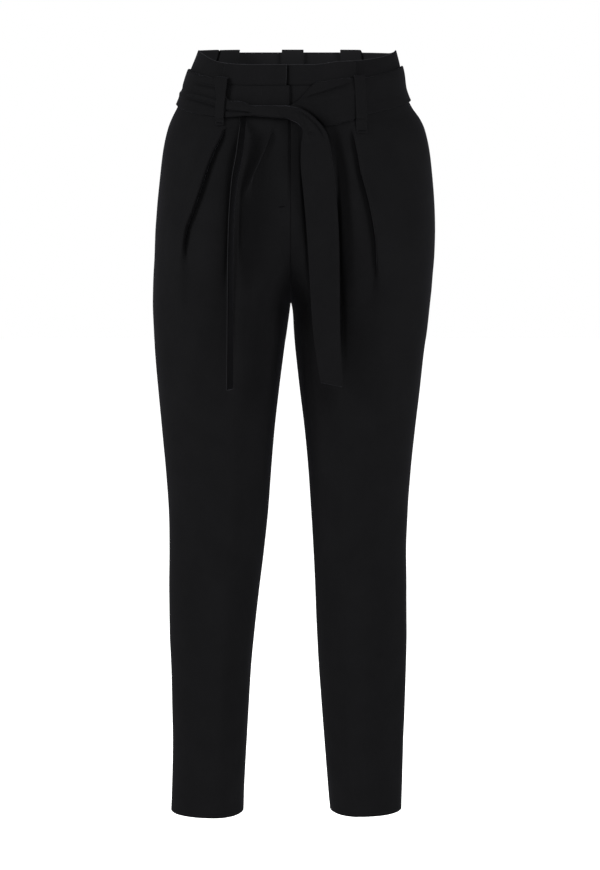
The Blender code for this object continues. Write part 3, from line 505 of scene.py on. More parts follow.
def half_section(sec, face):
    """One face's curve from the side seam to the centre seam, and its length. The curve is given as columns
    of place, outward direction and depth."""
    deep, away = (sec.front, -1.0) if face == "front" else (sec.back, 1.0)
    inside = max(sec.inner, MIDDLE_CLEAR)
    side = np.array([sec.outer, SIDE_DEPTH * (sec.front + sec.back)])
    full = np.array([inside + FULLEST * (sec.outer - inside), deep])
    t = np.linspace(0.0, 1.0, CURVE_STEPS + 1)[:, None]
    first = (1 - t) ** 3 * side + 3 * (1 - t) ** 2 * t * (side + [0, SIDE_ROUNDNESS * (deep - side[1])])
    first += 3 * (1 - t) * t * t * (full + [SIDE_ROUNDNESS * (side[0] - full[0]), 0]) + t ** 3 * full
    swing = math.asin((full[0] - inside) / (full[0] - min(sec.inner, inside)))
    angles = np.linspace(0.0, swing, CURVE_STEPS + 1)[1:]
    second = np.stack([full[0] - (full[0] - sec.inner) * np.sin(angles),
                       deep + (sec.inseam - deep) * (1.0 - np.cos(angles))], 1)
    points = np.vstack([first, second])
    along = unit(np.gradient(points, axis=0))
    length = np.concatenate([[0], np.cumsum(np.linalg.norm(np.diff(points, axis=0), axis=1))])
    depth = (points[:, 1] - side[1]) / (deep - side[1])
    columns = np.column_stack([points, away * along[:, 1], -away * along[:, 0], depth])
    even = np.linspace(0.0, length[-1], SHARE_STEPS + 1)
    return np.stack([np.interp(even, length, column) for column in columns.T]), length[-1]


@lru_cache(maxsize=None)
def body(face):
    """The garment's outer surface on one face, on an even net of heights and shares of the way across."""
    heights, *fields = zip(*SECTIONS[::-1])
    levels = np.arange(heights[0] - LEVEL_STEP, heights[-1] + LEVEL_STEP, LEVEL_STEP)
    columns = [curve_through(heights, values, levels) for values in fields]
    nets, lengths = zip(*(half_section(Section(*level), face) for level in zip(levels, *columns)))
    outer, inner, outer_drift, inner_drift = columns[:4]
    inside = np.maximum(inner, MIDDLE_CLEAR)
    return Body(levels[0], *np.stack(nets, 1), np.array(lengths), outer, inside, outer_drift, inner_drift)


def read_level(values, lowest, z):
    """A column of values, one a level, read at heights z."""
    at = np.clip((z - lowest) / LEVEL_STEP, 0, len(values) - 1.001)
    low = at.astype(int)
    return values[low] * (1 - at + low) + values[low + 1] * (at - low)


def read_net(net, lowest, z, share):
    """A net of values read at heights z and shares of the way across."""
    at = np.clip((z - lowest) / LEVEL_STEP, 0, len(net) - 1.001)
    to = np.clip(share, 0, 1) * (SHARE_STEPS - 0.001)
    low, left = at.astype(int), to.astype(int)
    up, over = at - low, to - left
    near = net[low, left] * (1 - over) + net[low, left + 1] * over
    far = net[low + 1, left] * (1 - over) + net[low + 1, left + 1] * over
    return near * (1 - up) + far * up


def across_length(face, z):
    """The length of the cloth across half of one face at a height."""
    made = body(face)
    return read_level(made.length, made.lowest, np.asarray(z, float))


def place(side, face, z, share, out=0.0):
    """Points on the garment's outer surface, moved out by a distance. All but face may be arrays."""
    made = body(face)
    side, z, share, out = np.broadcast_arrays(side, np.asarray(z, float), share, out)
    p, y, n_p, n_y, deep = (read_net(net, made.lowest, z, share) for net in made[1:6])
    outer, inside, outer_drift, inner_drift = (read_level(row, made.lowest, z) for row in made[7:])
    drift = inner_drift + (outer_drift - inner_drift) * (p - inside) / (outer - inside)
    size = np.hypot(n_p, n_y)
    eased = (np.hypot(deep, DIP_SOFTNESS) - DIP_SOFTNESS) / (math.hypot(1.0, DIP_SOFTNESS) - DIP_SOFTNESS)
    fade = smooth((z - DROP_GONE) / (DROP_FULL - DROP_GONE))
    lift = (-FRONT_DROP if face == "front" else BACK_RISE) * eased * fade
    return np.stack([side * (p + out * n_p / size) + drift, y + out * n_y / size, z + lift], -1)


def share_at(face, z, across):
    """The share of the cloth's length at a place given straight across the half: 0 side, 1 centre."""
    made = body(face)
    at = min(max(int(round((z - made.lowest) / LEVEL_STEP)), 0), len(made.p) - 1)
    target = made.outer[at] - across * (made.outer[at] - made.inside[at])
    return float(np.interp(-target, -made.p[at], np.linspace(0.0, 1.0, SHARE_STEPS + 1)))


def ring_place(turn, z, out):
    """Points round the waist. turn is 0 at the centre front, 1 at the left side seam, 2 at the centre back
    and 3 at the right side seam."""
    turn, z, out = np.broadcast_arrays(np.mod(turn, 4.0), np.asarray(z, float), out)
    side = np.where(turn < 2.0, LEFT, RIGHT)
    share = np.abs(np.abs(turn - 2.0) - 1.0)
    behind = (turn >= 1.0) & (turn < 3.0)
    on_front, on_back = (place(side, face, z, share, out) for face in ("front", "back"))
    return np.where(behind[..., None], on_back, on_front)


def ring_x(turn):
    """How far to the left each turn of the ring lies at the waist."""
    return ring_place(turn, 0.0, 0.0)[..., 0]


def turn_at(face, x, z=0.0):
    """The turn at which the ring's x is given, on the front or on the back."""
    low, high, rising = (-1.0, 1.0, 1.0) if face == "front" else (1.0, 3.0, -1.0)
    low, high, x = np.broadcast_arrays(low, high, np.asarray(x, float))
    for _ in range(26):
        middle = 0.5 * (low + high)
        short = rising * (ring_place(middle, z, 0.0)[..., 0] - x) < 0
        low, high = np.where(short, middle, low), np.where(short, high, middle)
    return 0.5 * (low + high)


def front_turn(x):
    return float(turn_at("front", x))


# ---------------------------------------------------------------- cloth


def facing(points, outside):
    """The directions that a net of points faces, on the side that outside points to."""
    down, along = np.gradient(points, axis=0), np.gradient(points, axis=1)
    normal = unit(np.cross(down, along))
    turned = np.sum(normal * outside, -1) < 0
    return np.where(turned[..., None], -normal, normal)


def crease_rise(x, z, creases, end=0.35):
    """How far a set of creases moves the cloth out at each x, z. A crease fades over a part of its length at
    both ends, which is end."""
    rise = np.zeros(np.broadcast(x, z).shape)
    for x0, z0, x1, z1, bow, width, depth, lean in creases:
        dx, dz = x1 - x0, z1 - z0
        length = math.hypot(dx, dz)
        t = ((x - x0) * dx + (z - z0) * dz) / length ** 2
        off = ((x - x0) * dz - (z - z0) * dx) / length - bow * 4 * t * (1 - t)
        wide = width * np.where(off > 0, 1 + lean, 1 - lean)
        rise += depth * smooth(t / end) * smooth((1 - t) / end) * bell(off, wide)
    return rise


def rumple(x, z, seed):
    """The slow unevenness of cloth that hangs free: long waves that cross one another."""
    rise = np.zeros(np.broadcast(x, z).shape)
    for k in range(6):
        angle = 0.5 + 1.3 * k + seed
        wave = 58.0 + 23.0 * ((k * 5 + 3 * seed) % 4)
        lean = 0.45 + 0.1 * (k % 3)
        run = (x * math.cos(angle) + z * lean * math.sin(angle)) / wave
        rise += np.sin(run * 2 * math.pi + 2.1 * k + seed)
    return rise / 6


def round_edge(rows, columns):
    """The rows and columns of a net's points, once round its edge."""
    across, down = np.arange(columns), np.arange(rows)
    r = np.concatenate([0 * across, down[1:], 0 * across[1:] + rows - 1, down[-2:0:-1]])
    c = np.concatenate([across, 0 * down[1:] + columns - 1, across[-2::-1], 0 * down[1:-1]])
    return r, c


def cloth_lengths(points):
    """Where each point lies on the cloth laid flat, in metres: along its rows and down its columns."""
    along = np.linalg.norm(np.diff(points, axis=1), axis=2)
    down = np.linalg.norm(np.diff(points, axis=0), axis=2)
    u = np.concatenate([np.zeros((points.shape[0], 1)), np.cumsum(along, 1)], 1)
    v = np.concatenate([np.zeros((1, points.shape[1])), np.cumsum(down, 0)], 0)
    return np.stack([u, v], -1).reshape(-1, 2) * METRES


def put_in(name, data):
    """A new object of the scene."""
    piece = bpy.data.objects.new(name, data)
    bpy.context.scene.collection.objects.link(piece)
    return piece


def cloth_shell(name, outer, inner, finish, rim=None, inner_finish=None, shaded=None):
    """A closed shell between two nets of points, in millimetres, whose edges are rounded over. Its rim and
    its inner face may have finishes of their own, and shaded is the column whose edge lies in the shade: 0 or
    -1."""
    outer, inner = np.asarray(outer), np.asarray(inner)
    rows, columns = outer.shape[:2]
    r, c = round_edge(rows, columns)
    edge = outer[r, c]
    across = edge - inner[r, c]
    away = unit(edge - outer[np.clip(r, 1, rows - 2), np.clip(c, 1, columns - 2)])
    ridge = edge - 0.5 * across + away * 0.4 * np.linalg.norm(across, axis=1)[:, None]
    points = np.vstack([outer.reshape(-1, 3), inner.reshape(-1, 3), ridge]) * METRES
    net = np.arange(rows * columns).reshape(rows, columns)
    quads = np.stack([net[:-1, :-1], net[:-1, 1:], net[1:, 1:], net[1:, :-1]], -1).reshape(-1, 4)
    rings = [net[r, c], np.arange(len(r)) + 2 * net.size, net[r, c] + net.size]
    after = [np.roll(ring, -1) for ring in rings]
    rims = [np.stack([rings[k], rings[k + 1], after[k + 1], after[k]], 1) for k in (0, 1)]
    faces = np.vstack([quads, quads[:, ::-1] + net.size, *rims])
    i, j = rows // 2, columns // 2
    over, down = outer[i, j + 1] - outer[i, j], outer[i + 1, j] - outer[i, j]
    if np.cross(over, down).dot(outer[i, j] - inner[i, j]) < 0:
        faces = faces[:, ::-1]
    mesh = bpy.data.meshes.new(name)
    mesh.from_pydata(points.tolist(), [], faces.tolist())
    laid = cloth_lengths(outer)
    spread = np.vstack([laid, laid, laid[rings[0]]])
    layer = mesh.uv_layers.new(name="cloth")
    layer.data.foreach_set("uv", spread[faces.ravel()].ravel().astype(np.float32))
    mesh.polygons.foreach_set("use_smooth", np.ones(len(faces), bool))
    for given in (finish, inner_finish or finish, rim or finish):
        mesh.materials.append(given)
    parts = np.repeat([0, 1, 2], [len(quads), len(quads), 2 * len(r)])
    if shaded is not None:
        mesh.materials.append(shaded_edge_finish())
        parts[2 * len(quads):][np.tile(c == shaded % columns, 2)] = 3
    mesh.polygons.foreach_set("material_index", parts.astype(np.int32))
    return put_in(name, mesh)


def sewn(piece, node):
    """Puts a piece in place of its solid."""
    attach(piece, "root")
    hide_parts(node)


# ---------------------------------------------------------------- finishes

YARNS, MOTTLES = 0.3, 0.02  # how many yarns and mottles there are to one grain
PEBBLE_SHARE, MOTTLE_SHARE = 0.7, 0.6  # how much of the height is pebbles, and how much of the shade mottles
SMOOTHEST, ROUGHER = 0.70, 0.22
BLACK_SHEEN = (0.80, 0.80, 0.92, 1.0)

def new_material(name):
    """A material, its nodes, the function that joins them, and its shader."""
    material = bpy.data.materials.new(name)
    material.use_nodes = True
    tree = material.node_tree
    return material, tree.nodes, tree.links.new, tree.nodes["Principled BSDF"]


@lru_cache(maxsize=None)
def crepe_group():
    """Crepe's pebbled grain over a plain weave, with the faint mottling of a soft black dye."""
    group = bpy.data.node_groups.new("Crepe", "ShaderNodeTree")
    for way, kind, name in (
            ("INPUT", "Vector", "Cloth"), ("INPUT", "Float", "Grain Size"), ("INPUT", "Color", "Dark"),
            ("INPUT", "Color", "Light"), ("OUTPUT", "Color", "Colour"), ("OUTPUT", "Float", "Roughness"),
            ("OUTPUT", "Float", "Height")):
        group.interface.new_socket(name=name, in_out=way, socket_type="NodeSocket" + kind)
    nodes, join = group.nodes, group.links.new
    given, made = nodes.new("NodeGroupInput"), nodes.new("NodeGroupOutput")

    def maths(operation, a, b):
        node = nodes.new("ShaderNodeMath")
        node.operation = operation
        for socket, value in zip(node.inputs, (a, b)):
            if isinstance(value, float):
                socket.default_value = value
            else:
                join(value, socket)
        return node.outputs[0]

    def pattern(kind, scale, detail):
        node = nodes.new(kind)
        node.inputs["Detail"].default_value = detail
        join(given.outputs["Cloth"], node.inputs["Vector"])
        join(scale, node.inputs["Scale"])
        return node

    def yarn(direction):
        node = pattern("ShaderNodeTexWave", maths("MULTIPLY", fine, YARNS), 1.0)
        node.bands_direction = direction
        node.inputs["Distortion"].default_value = 3.0
        return node.outputs["Fac"]

    def blend(a, share, b):
        return maths("ADD", maths("MULTIPLY", a, share), maths("MULTIPLY", b, 1.0 - share))

    fine = maths("DIVIDE", 1.0, given.outputs["Grain Size"])
    pebble = pattern("ShaderNodeTexNoise", fine, 2.0).outputs["Fac"]
    mottle = pattern("ShaderNodeTexNoise", maths("MULTIPLY", fine, MOTTLES), 3.0).outputs["Fac"]
    height = blend(pebble, PEBBLE_SHARE, maths("MAXIMUM", yarn("X"), yarn("Y")))
    shade = blend(mottle, MOTTLE_SHARE, pebble)
    mix = nodes.new("ShaderNodeMix")
    mix.data_type = "RGBA"
    join(shade, mix.inputs["Factor"])
    join(given.outputs["Dark"], mix.inputs["A"])
    join(given.outputs["Light"], mix.inputs["B"])
    join(mix.outputs["Result"], made.inputs["Colour"])
    join(maths("ADD", SMOOTHEST, maths("MULTIPLY", shade, ROUGHER)), made.inputs["Roughness"])
    join(height, made.inputs["Height"])
    return group


@lru_cache(maxsize=None)
def cloth_finish(name, tone, bump):
    """Black crepe. tone lightens or darkens it, and is how some finishes paint highlights and shade; bump is
    how far its grain stands up.
    """
    cloth = cloth_settings()
    material, nodes, join, shader = new_material(name)
    where = nodes.new("ShaderNodeUVMap")
    where.uv_map = "cloth"
    crepe = nodes.new("ShaderNodeGroup")
    crepe.node_tree = crepe_group()
    crepe.inputs["Grain Size"].default_value = cloth.grain
    crepe.inputs["Dark"].default_value = (*[c * tone * 0.75 for c in cloth.colour], 1.0)
    crepe.inputs["Light"].default_value = (*[c * tone * 1.25 for c in cloth.colour], 1.0)
    raised = nodes.new("ShaderNodeBump")
    raised.inputs["Strength"].default_value = 0.5
    raised.inputs["Distance"].default_value = bump
    join(where.outputs["UV"], crepe.inputs["Cloth"])
    join(crepe.outputs["Colour"], shader.inputs["Base Color"])
    join(crepe.outputs["Roughness"], shader.inputs["Roughness"])
    join(crepe.outputs["Height"], raised.inputs["Height"])
    join(raised.outputs["Normal"], shader.inputs["Normal"])
    shader.inputs["Specular IOR Level"].default_value = 0.0
    shader.inputs["Sheen Weight"].default_value = cloth.sheen
    shader.inputs["Sheen Roughness"].default_value = 0.30
    shader.inputs["Sheen Tint"].default_value = BLACK_SHEEN
    return material


def crepe_finish():
    return cloth_finish("black_crepe", 1.0, 0.00012)


def edge_finish():
    """Folded edges, painted a little lighter as a highlight where they catch the light."""
    return cloth_finish("black_crepe_edge", 1.4, 0.00006)


# Edges painted much lighter, as a bright highlight.
def bright_edge_highlight_finish():
    return cloth_finish("black_crepe_worn_edge", 2.4, 0.00006)


def shaded_edge_finish():
    return cloth_finish("black_crepe_shaded_edge", 0.25, 0.00006)


# The back frill's inner face, painted lighter as the light that falls into the back of the waist.
def lit_inside_finish():
    return cloth_finish("black_crepe_inside", 2.0, 0.00012)


def sash_finish():
    return cloth_finish("black_crepe_sash", 0.97, 0.00010)


# The narrow end's face, painted dark as the shade it hangs in.
def shaded_sash_finish():
    return cloth_finish("black_crepe_sash_back", 0.45, 0.00010)


def mottled(name, scale, dark, light, roughness):
    """A material that wanders between two close colours, and its shader."""
    material, nodes, join, shader = new_material(name)
    where = nodes.new("ShaderNodeTexCoord")
    noise = nodes.new("ShaderNodeTexNoise")
    noise.inputs["Scale"].default_value = scale
    ramp = nodes.new("ShaderNodeValToRGB")
    for stop, colour in zip(ramp.color_ramp.elements, (dark, light)):
        stop.color = (*colour, 1.0)
    join(where.outputs["Object"], noise.inputs["Vector"])
    join(noise.outputs["Fac"], ramp.inputs["Fac"])
    join(ramp.outputs["Color"], shader.inputs["Base Color"])
    shader.inputs["Roughness"].default_value = roughness
    return material, shader


@lru_cache(maxsize=None)
def thread_finish():
    dark, light = (0.0008, 0.0008, 0.0009), (0.0026, 0.0026, 0.0029)
    material, shader = mottled("black_thread", 2600.0, dark, light, 0.7)
    shader.inputs["Specular IOR Level"].default_value = 0.0
    return material


def paper_finish(studio):
    material, shader = mottled("pale_paper", 3.0, [c * 0.99 for c in studio.floor], studio.floor, 0.95)
    shader.inputs["Emission Color"].default_value = (1.0, 1.0, 1.0, 1.0)
    shader.inputs["Emission Strength"].default_value = studio.floor_glow
    return material


# ---------------------------------------------------------------- legs


def leg_heights(side):
    """Heights of a leg panel's rows, close together below the waist seam."""
    top = BAND_BOTTOM - SEAM_GAP / 2
    rows = np.arange(top - 7.0, HEM[side] + 2.0, -LEG_ROW)
    return np.concatenate([top - np.array(SEAM_STEPS), rows, [HEM[side]]])


def edged(start, end, length, count, seam_at_start, seam_at_end):
    """Shares from start to end with close columns beside a seam."""
    steps = np.array(SEAM_STEPS) / length
    first = start + steps if seam_at_start else np.array([start])
    last = (end - steps)[::-1] if seam_at_end else np.array([end])
    between = np.linspace(first[-1], last[0], count + 1)[1:-1]
    return np.concatenate([first, between, last])


def seam_dip(distance, roll=SEAM_ROLL):
    return -roll * bell(distance, SEAM_ROLL_WIDTH)


def seam_shares(face, z):
    """The length across half a face, and the shares at which its cloth begins and ends."""
    length = float(across_length(face, z))
    clear = SEAM_GAP / 2 / length
    return length, clear, 1.0 - (clear if z <= CROTCH else 0.0)


def front_row(side, z):
    """Shares and outward moves of a front's columns at one height, its pleats folded over."""
    length, clear, closed = seam_shares("front", z)
    room = min(1.0, length / OPENING_WIDTH) ** 1.5
    shares, outs = [], []
    start = clear
    for k, (pleat, count) in enumerate(zip(PLEATS[side], PLEAT_COLUMNS)):
        rise = by_height(pleat.rise, z)
        folded = float(smooth(rise / PLEAT_FOLDED) * smooth((z - pleat.soft) / PLEAT_OPENS))
        opened = room * (1 - folded)
        fold = clear + share_at("front", z, by_height(pleat.line, z)) * (closed - clear)
        tip = fold - (TIP_FOLDED * folded + TIP_OPENED * opened) / length
        span = edged(start, tip, length, count, k == 0, False)
        ramp = PLEAT_RAMP / length if k == 0 else tip - start
        crest = PLEAT_CREST * folded * bell((span - tip) * length, PLEAT_CREST_WIDTH)
        tuck = PLEAT_TUCK * folded
        offsets = folded * np.array([0.0, -0.15, -tuck, -1.4 * tuck]) + opened * OPENED_FOLD
        shares += [span, fold + offsets / length]
        outs += [rise * smooth((span - tip + ramp) / ramp) + crest, rise * FOLD_RISES]
        start = shares[-1][-1] + FOLD_AFTER / length
    shares.append(edged(start, closed, length, CENTRE_COLUMNS, False, True))
    outs.append(0 * shares[-1])
    shares, outs = np.concatenate(shares), np.concatenate(outs)
    return shares, outs + seam_dip((shares - clear) * length), (closed - shares) * length


def back_row(z):
    """Shares and outward moves of a back's columns at one height."""
    length, clear, closed = seam_shares("back", z)
    shares = edged(clear, closed, length, BACK_COLUMNS, True, True)
    return shares, seam_dip((shares - clear) * length), (closed - shares) * length


def leg_panel(side, face):
    """A leg panel with its creases, its seam allowances turned in and its hem turned up."""
    cloth = cloth_settings()
    front = face == "front"
    heights = leg_heights(side)
    rows = [front_row(side, z) if front else back_row(z) for z in heights]
    shares, outs, to_centre = (np.stack(column) for column in zip(*rows))
    z = heights[:, None] + 0 * shares
    outs += seam_dip(heights[0] - heights)[:, None]
    # The front's centre seam lies hardly lower than the cloth at the fly, and lower towards the crotch.
    centre_roll = CENTRE_ROLL + CROTCH_ROLL * smooth((FLY_FOOT - z) / CROTCH_FADE) if front else SEAM_ROLL
    dip = seam_dip(to_centre, centre_roll)
    above = z > CROTCH
    outs += np.where(above, 0.0, dip)
    if front and side == RIGHT:
        near = smooth((shares - FLY_FROM) / FLY_WIDTH) * smooth((to_centre - FLY_STARTS) / FLY_STEP)
        outs += FLY_LAP * near * smooth((z - FLY_FOOT) / FLY_SOFT)
    flat = place(side, face, z, shares, 0.0)
    outward = place(side, face, z, shares, 1.0) - flat
    normal = facing(flat, outward)
    x, level = flat[..., 0], flat[..., 2]
    moved = crease_rise(x, level, (FRONT_CREASES if front else BACK_CREASES)[side])
    moved += RUMPLED * rumple(x, level, 1 + (side > 0) + 2 * (not front))
    length = across_length(face, z)
    calm = smooth(shares * length / CALM) * smooth((1 - shares) * length / CALM)
    calm *= smooth((heights[0] - z) / CALM_BELOW_BAND)
    outer = place(side, face, z, shares, outs) + normal * (moved * calm * cloth.crease_depth)[..., None]
    deeper = 1.0 if front else -1.0
    outer[..., 1] -= deeper * np.where(above, dip, 0.0)
    layers = 1.0 + smooth((HEM[side] + HEM_DEPTH - z) / HEM_FOLD)
    inner = outer - normal * (cloth.thickness * layers)[..., None]
    turned = [outer[:1] - outward[:1] * t for t in SEAM_TURN]
    outer = np.concatenate([*turned, outer])
    inner = np.concatenate([*turned, inner])
    inner[:len(SEAM_TURN), :, 2] -= cloth.thickness
    name = next(f"cloth_{face}_{word}" for word in SIDES if SIDES[word] == side)
    return cloth_shell(name, *with_side_turns(outer, inner, outward, deeper), crepe_finish())


def with_side_turns(outer, inner, outward, deeper):
    """Adds the allowances at a panel's two long edges. Those at the centre are turned straight in and pressed
    to the right; those at the sides and inside the legs are turned in squarely and pressed to the back."""
    top = outer.shape[0] - outward.shape[0]
    outward = np.concatenate([np.repeat(outward[:1], top, 0), outward])
    for first in (True, False):
        edge, near = (0, 1) if first else (-1, -2)
        centre = (outer[:, edge, 2] > CROTCH) & (not first)
        inward = np.where(centre[:, None], [0.0, deeper, 0.0], -outward[:, edge])
        into = outer[:, near] - outer[:, edge]
        into = unit(into - inward * np.sum(into * inward, -1)[:, None])
        out_turn = np.stack([outer[:, edge] + inward * t for t in SEAM_TURN], 1)
        out_turn[centre, :, 0] -= SEAM_PRESSED
        out_turn[~centre, :, 1] += SEAM_PRESSED
        in_turn = out_turn + (into * cloth_settings().thickness)[:, None]
        if first:
            outer, inner = np.concatenate([out_turn, outer], 1), np.concatenate([in_turn, inner], 1)
        else:
            outer = np.concatenate([outer, out_turn[:, ::-1]], 1)
            inner = np.concatenate([inner, in_turn[:, ::-1]], 1)
    return outer, inner


class TROUSERS_OT_fronts(Operator):
    """Makes both fronts, with their pleats"""

    bl_idname = "trousers.fronts"
    bl_label = "Fronts"

    def execute(self, context):
        for word, side in SIDES.items():
            sewn(leg_panel(side, "front"), f"front_{word}")
        return {"FINISHED"}


class TROUSERS_OT_backs(Operator):
    """Makes both backs"""

    bl_idname = "trousers.backs"
    bl_label = "Backs"

    def execute(self, context):
        for word, side in SIDES.items():
            sewn(leg_panel(side, "back"), f"back_{word}")
        return {"FINISHED"}


# ---------------------------------------------------------------- waistband and frill


def seam_turns():
    """Half the seam gap, as a turn at the side seam."""
    return SEAM_GAP / 2 / float(across_length("front", 0.0))


def lap(turns):
    """How far the right front is raised over the left near the middle."""
    return OVERLAP * smooth((LAP_FROM - np.abs(ring_x(turns))) / (LAP_FROM - LAP_TO))


def pressed(turns, edge):
    """How far the left front is pressed in beside the edge of the right one."""
    return -UNDERLAP_PRESSED * bell(ring_x(turns) + edge - 0.6 * PRESSED_WIDTH, PRESSED_WIDTH)


def waistband(name, turns, lapped):
    """A stretch of the waistband between two seams, its allowances turned in at its top and bottom."""
    cloth = cloth_settings()
    steps, turned = np.array(SEAM_STEPS), np.array(SEAM_TURN)
    bottom, top = BAND_BOTTOM + SEAM_GAP / 2, BAND_TOP - SEAM_GAP / 2
    middle = np.linspace(bottom + steps[-1], top - steps[-1], 17)[1:-1]
    heights = np.concatenate([bottom + steps, middle, (top - steps)[::-1]])
    dips = seam_dip(heights - bottom) + seam_dip(top - heights)
    heights = np.concatenate([bottom + 0 * turned, heights, top + 0 * turned])
    outs = np.concatenate([-turned, dips, -turned[::-1]])[:, None]
    if lapped:
        outs = outs + lap(turns) - BAR_DEPTH * bell(ring_x(turns) - BAR_LINE, BAR_WIDTH)
    else:
        outs = outs + pressed(turns, BAND_EDGE)
    z = heights[:, None] + 0 * turns
    crown = BAND_CROWN * np.sin(np.pi * np.clip((z - BAND_BOTTOM) / (BAND_TOP - BAND_BOTTOM), 0, 1))
    insides = outs - BAND_LAYERS * cloth.thickness
    lifted = z.copy()
    for turn_in, lift in ((slice(len(turned)), 1), (slice(-len(turned), None), -1)):
        insides[turn_in] = outs[turn_in]
        lifted[turn_in] += lift * cloth.thickness
    outer, inner = ring_place(turns, z, outs + crown), ring_place(turns, lifted, insides)
    return cloth_shell(name, outer, inner, crepe_finish())


class TROUSERS_OT_waistband(Operator):
    """Makes the waistband's two fronts and its back"""

    bl_idname = "trousers.waistband"
    bl_label = "Waistband"

    def execute(self, context):
        clear = seam_turns()
        for word, start, end, columns, width in (
                ("front_right", -1.0 + clear, front_turn(-BAND_EDGE), 90, 0.20),
                ("front_left", front_turn(-UNDERLAP), 1.0 - clear, 96, 0.235),
                ("back", 1.0 + clear, 3.0 - clear, 170, 0.41)):
            turns = np.linspace(start, end, columns)
            piece = waistband(f"cloth_waistband_{word}", turns, word == "front_right")
            sewn(piece, f"waistband_{word}")
        return {"FINISHED"}


def frill_shell(name, turns, tops, foot_outs, top_outs, inner_finish=None):
    """A stretch of the frill: sewn in at its foot, with a folded edge at its top."""
    cloth = cloth_settings()
    foot = BAND_TOP + SEAM_GAP / 2
    steps = np.array(SEAM_STEPS)
    rises = np.concatenate([steps, np.linspace(steps[-1], FRILL_TOP - foot, FRILL_ROWS)[1:]])
    up = (rises / rises[-1])[:, None]
    z = foot + rises[:, None] + (tops - FRILL_TOP) * up
    outs = foot_outs * (1 - up) + top_outs * up + seam_dip(rises)[:, None]
    thick = (FOOT_LAYERS + (TOP_LAYERS - FOOT_LAYERS) * smooth(up * 4)) * cloth.thickness
    turned = np.array(SEAM_TURN)[:, None] + 0 * turns
    z = np.concatenate([foot + 0 * turned, z])
    insides = np.concatenate([outs[0] - turned, outs - thick])
    outs = np.concatenate([outs[0] - turned, outs])
    lifted = z.copy()
    lifted[:len(turned)] += cloth.thickness
    outer, inner = ring_place(turns, z, outs), ring_place(turns, lifted, insides)
    # Its rim is painted much lighter, as a bright highlight.
    return cloth_shell(name, outer, inner, crepe_finish(), bright_edge_highlight_finish(), inner_finish)


def frill_front(side):
    """A front of the frill, folded once: the part beside the centre hangs over the part beside the seam."""
    length = float(across_length("front", BAND_TOP))
    fold = share_at("front", BAND_TOP, FRILL_FOLD[side])
    tuck, step = FRILL_TUCK / length, FRILL_STEP / length
    end = 1.0 + front_turn(-FRILL_EDGE) if side == RIGHT else 1.0 - front_turn(-UNDERLAP)
    first = np.linspace(seam_turns(), fold + 0.6 * tuck, 44)
    second = np.linspace(fold + 0.4 * step, end, 70 if side == RIGHT else 84)
    shares = np.concatenate([first, fold - tuck * FRONT_FOLD_HANGS, second])
    raised = np.concatenate([0 * first, FRONT_FOLD_RISES, 1 + 0 * second])
    turns = side * (1.0 - shares)
    over = lap(turns) if side == RIGHT else pressed(turns, FRILL_EDGE)
    corner = CORNERS[side]
    tops = FRILL_TOP + corner.rise * smooth((corner.far - shares) / (corner.far - corner.near))
    name = "cloth_frill_front_" + ("right" if side == RIGHT else "left")
    return frill_shell(name, turns, tops, FRILL_PLATE[0] * raised + over, FRILL_PLATE[1] * raised + over)


def frill_back():
    """The back of the frill, folded inwards into three box pleats that stand a little higher than it."""
    clear = seam_turns()
    step = FRILL_STEP / float(across_length("back", BAND_TOP))
    runs = [(np.array([1.0 + clear]), 0.0)]
    for middle in BACK_PLEATS[::-1]:
        near, far = turn_at("back", middle + BACK_PLEAT_WIDTH / 2 * np.array([1.0, -1.0]), BAND_TOP)
        runs += [(np.linspace(runs[-1][0][-1], near - 0.4 * step, 27)[1:], 0.0),
                 (near - FOLD_HANGS * step, FOLD_DEPTHS),
                 (np.linspace(near, far, 15), 1.0),
                 (far + FOLD_HANGS[::-1] * step, FOLD_DEPTHS[::-1]),
                 (np.array([far + 0.4 * step]), 0.0)]
    runs.append((np.linspace(runs[-1][0][-1], 3.0 - clear, 27)[1:], 0.0))
    turns = np.concatenate([run for run, _ in runs])
    depths = np.concatenate([depth + 0 * run for run, depth in runs])
    beside_left = CORNERS[LEFT].rise * smooth(1.0 - (turns - 1.0) / CORNER_BEHIND)
    beside_right = CORNERS[RIGHT].rise * smooth((turns - far) / (0.5 * step))
    rises = np.maximum(BACK_PLEAT_RISE * depths, np.maximum(beside_left, beside_right))
    sunk = -BACK_PLEAT_DEPTH * depths
    # Its inner face is painted lighter, as the light that falls into the waist.
    return frill_shell("cloth_frill_back", turns, FRILL_TOP + rises, sunk, sunk, lit_inside_finish())


class TROUSERS_OT_frill(Operator):
    """Makes the paperbag frill above the waistband"""

    bl_idname = "trousers.frill"
    bl_label = "Frill"

    def execute(self, context):
        for word, piece, width in (
                ("front_right", frill_front(RIGHT), 0.19),
                ("front_left", frill_front(LEFT), 0.235),
                ("back", frill_back(), 0.41)):
            sewn(piece, f"frill_{word}")
        return {"FINISHED"}


# ---------------------------------------------------------------- sash


def belt_side(turns):
    """The sash's edges, distance and thickness round the side and the back."""
    lift = smooth((LIFT_TO - turns) / (LIFT_TO - LIFT_FROM)) * (turns > 0)
    return np.stack([BELT_TOP + lift * SIDE_LIFT[0], BELT_BOTTOM + lift * SIDE_LIFT[1], BELT_OFF + 0 * turns,
                     BELT_CLOTH + 0 * turns])


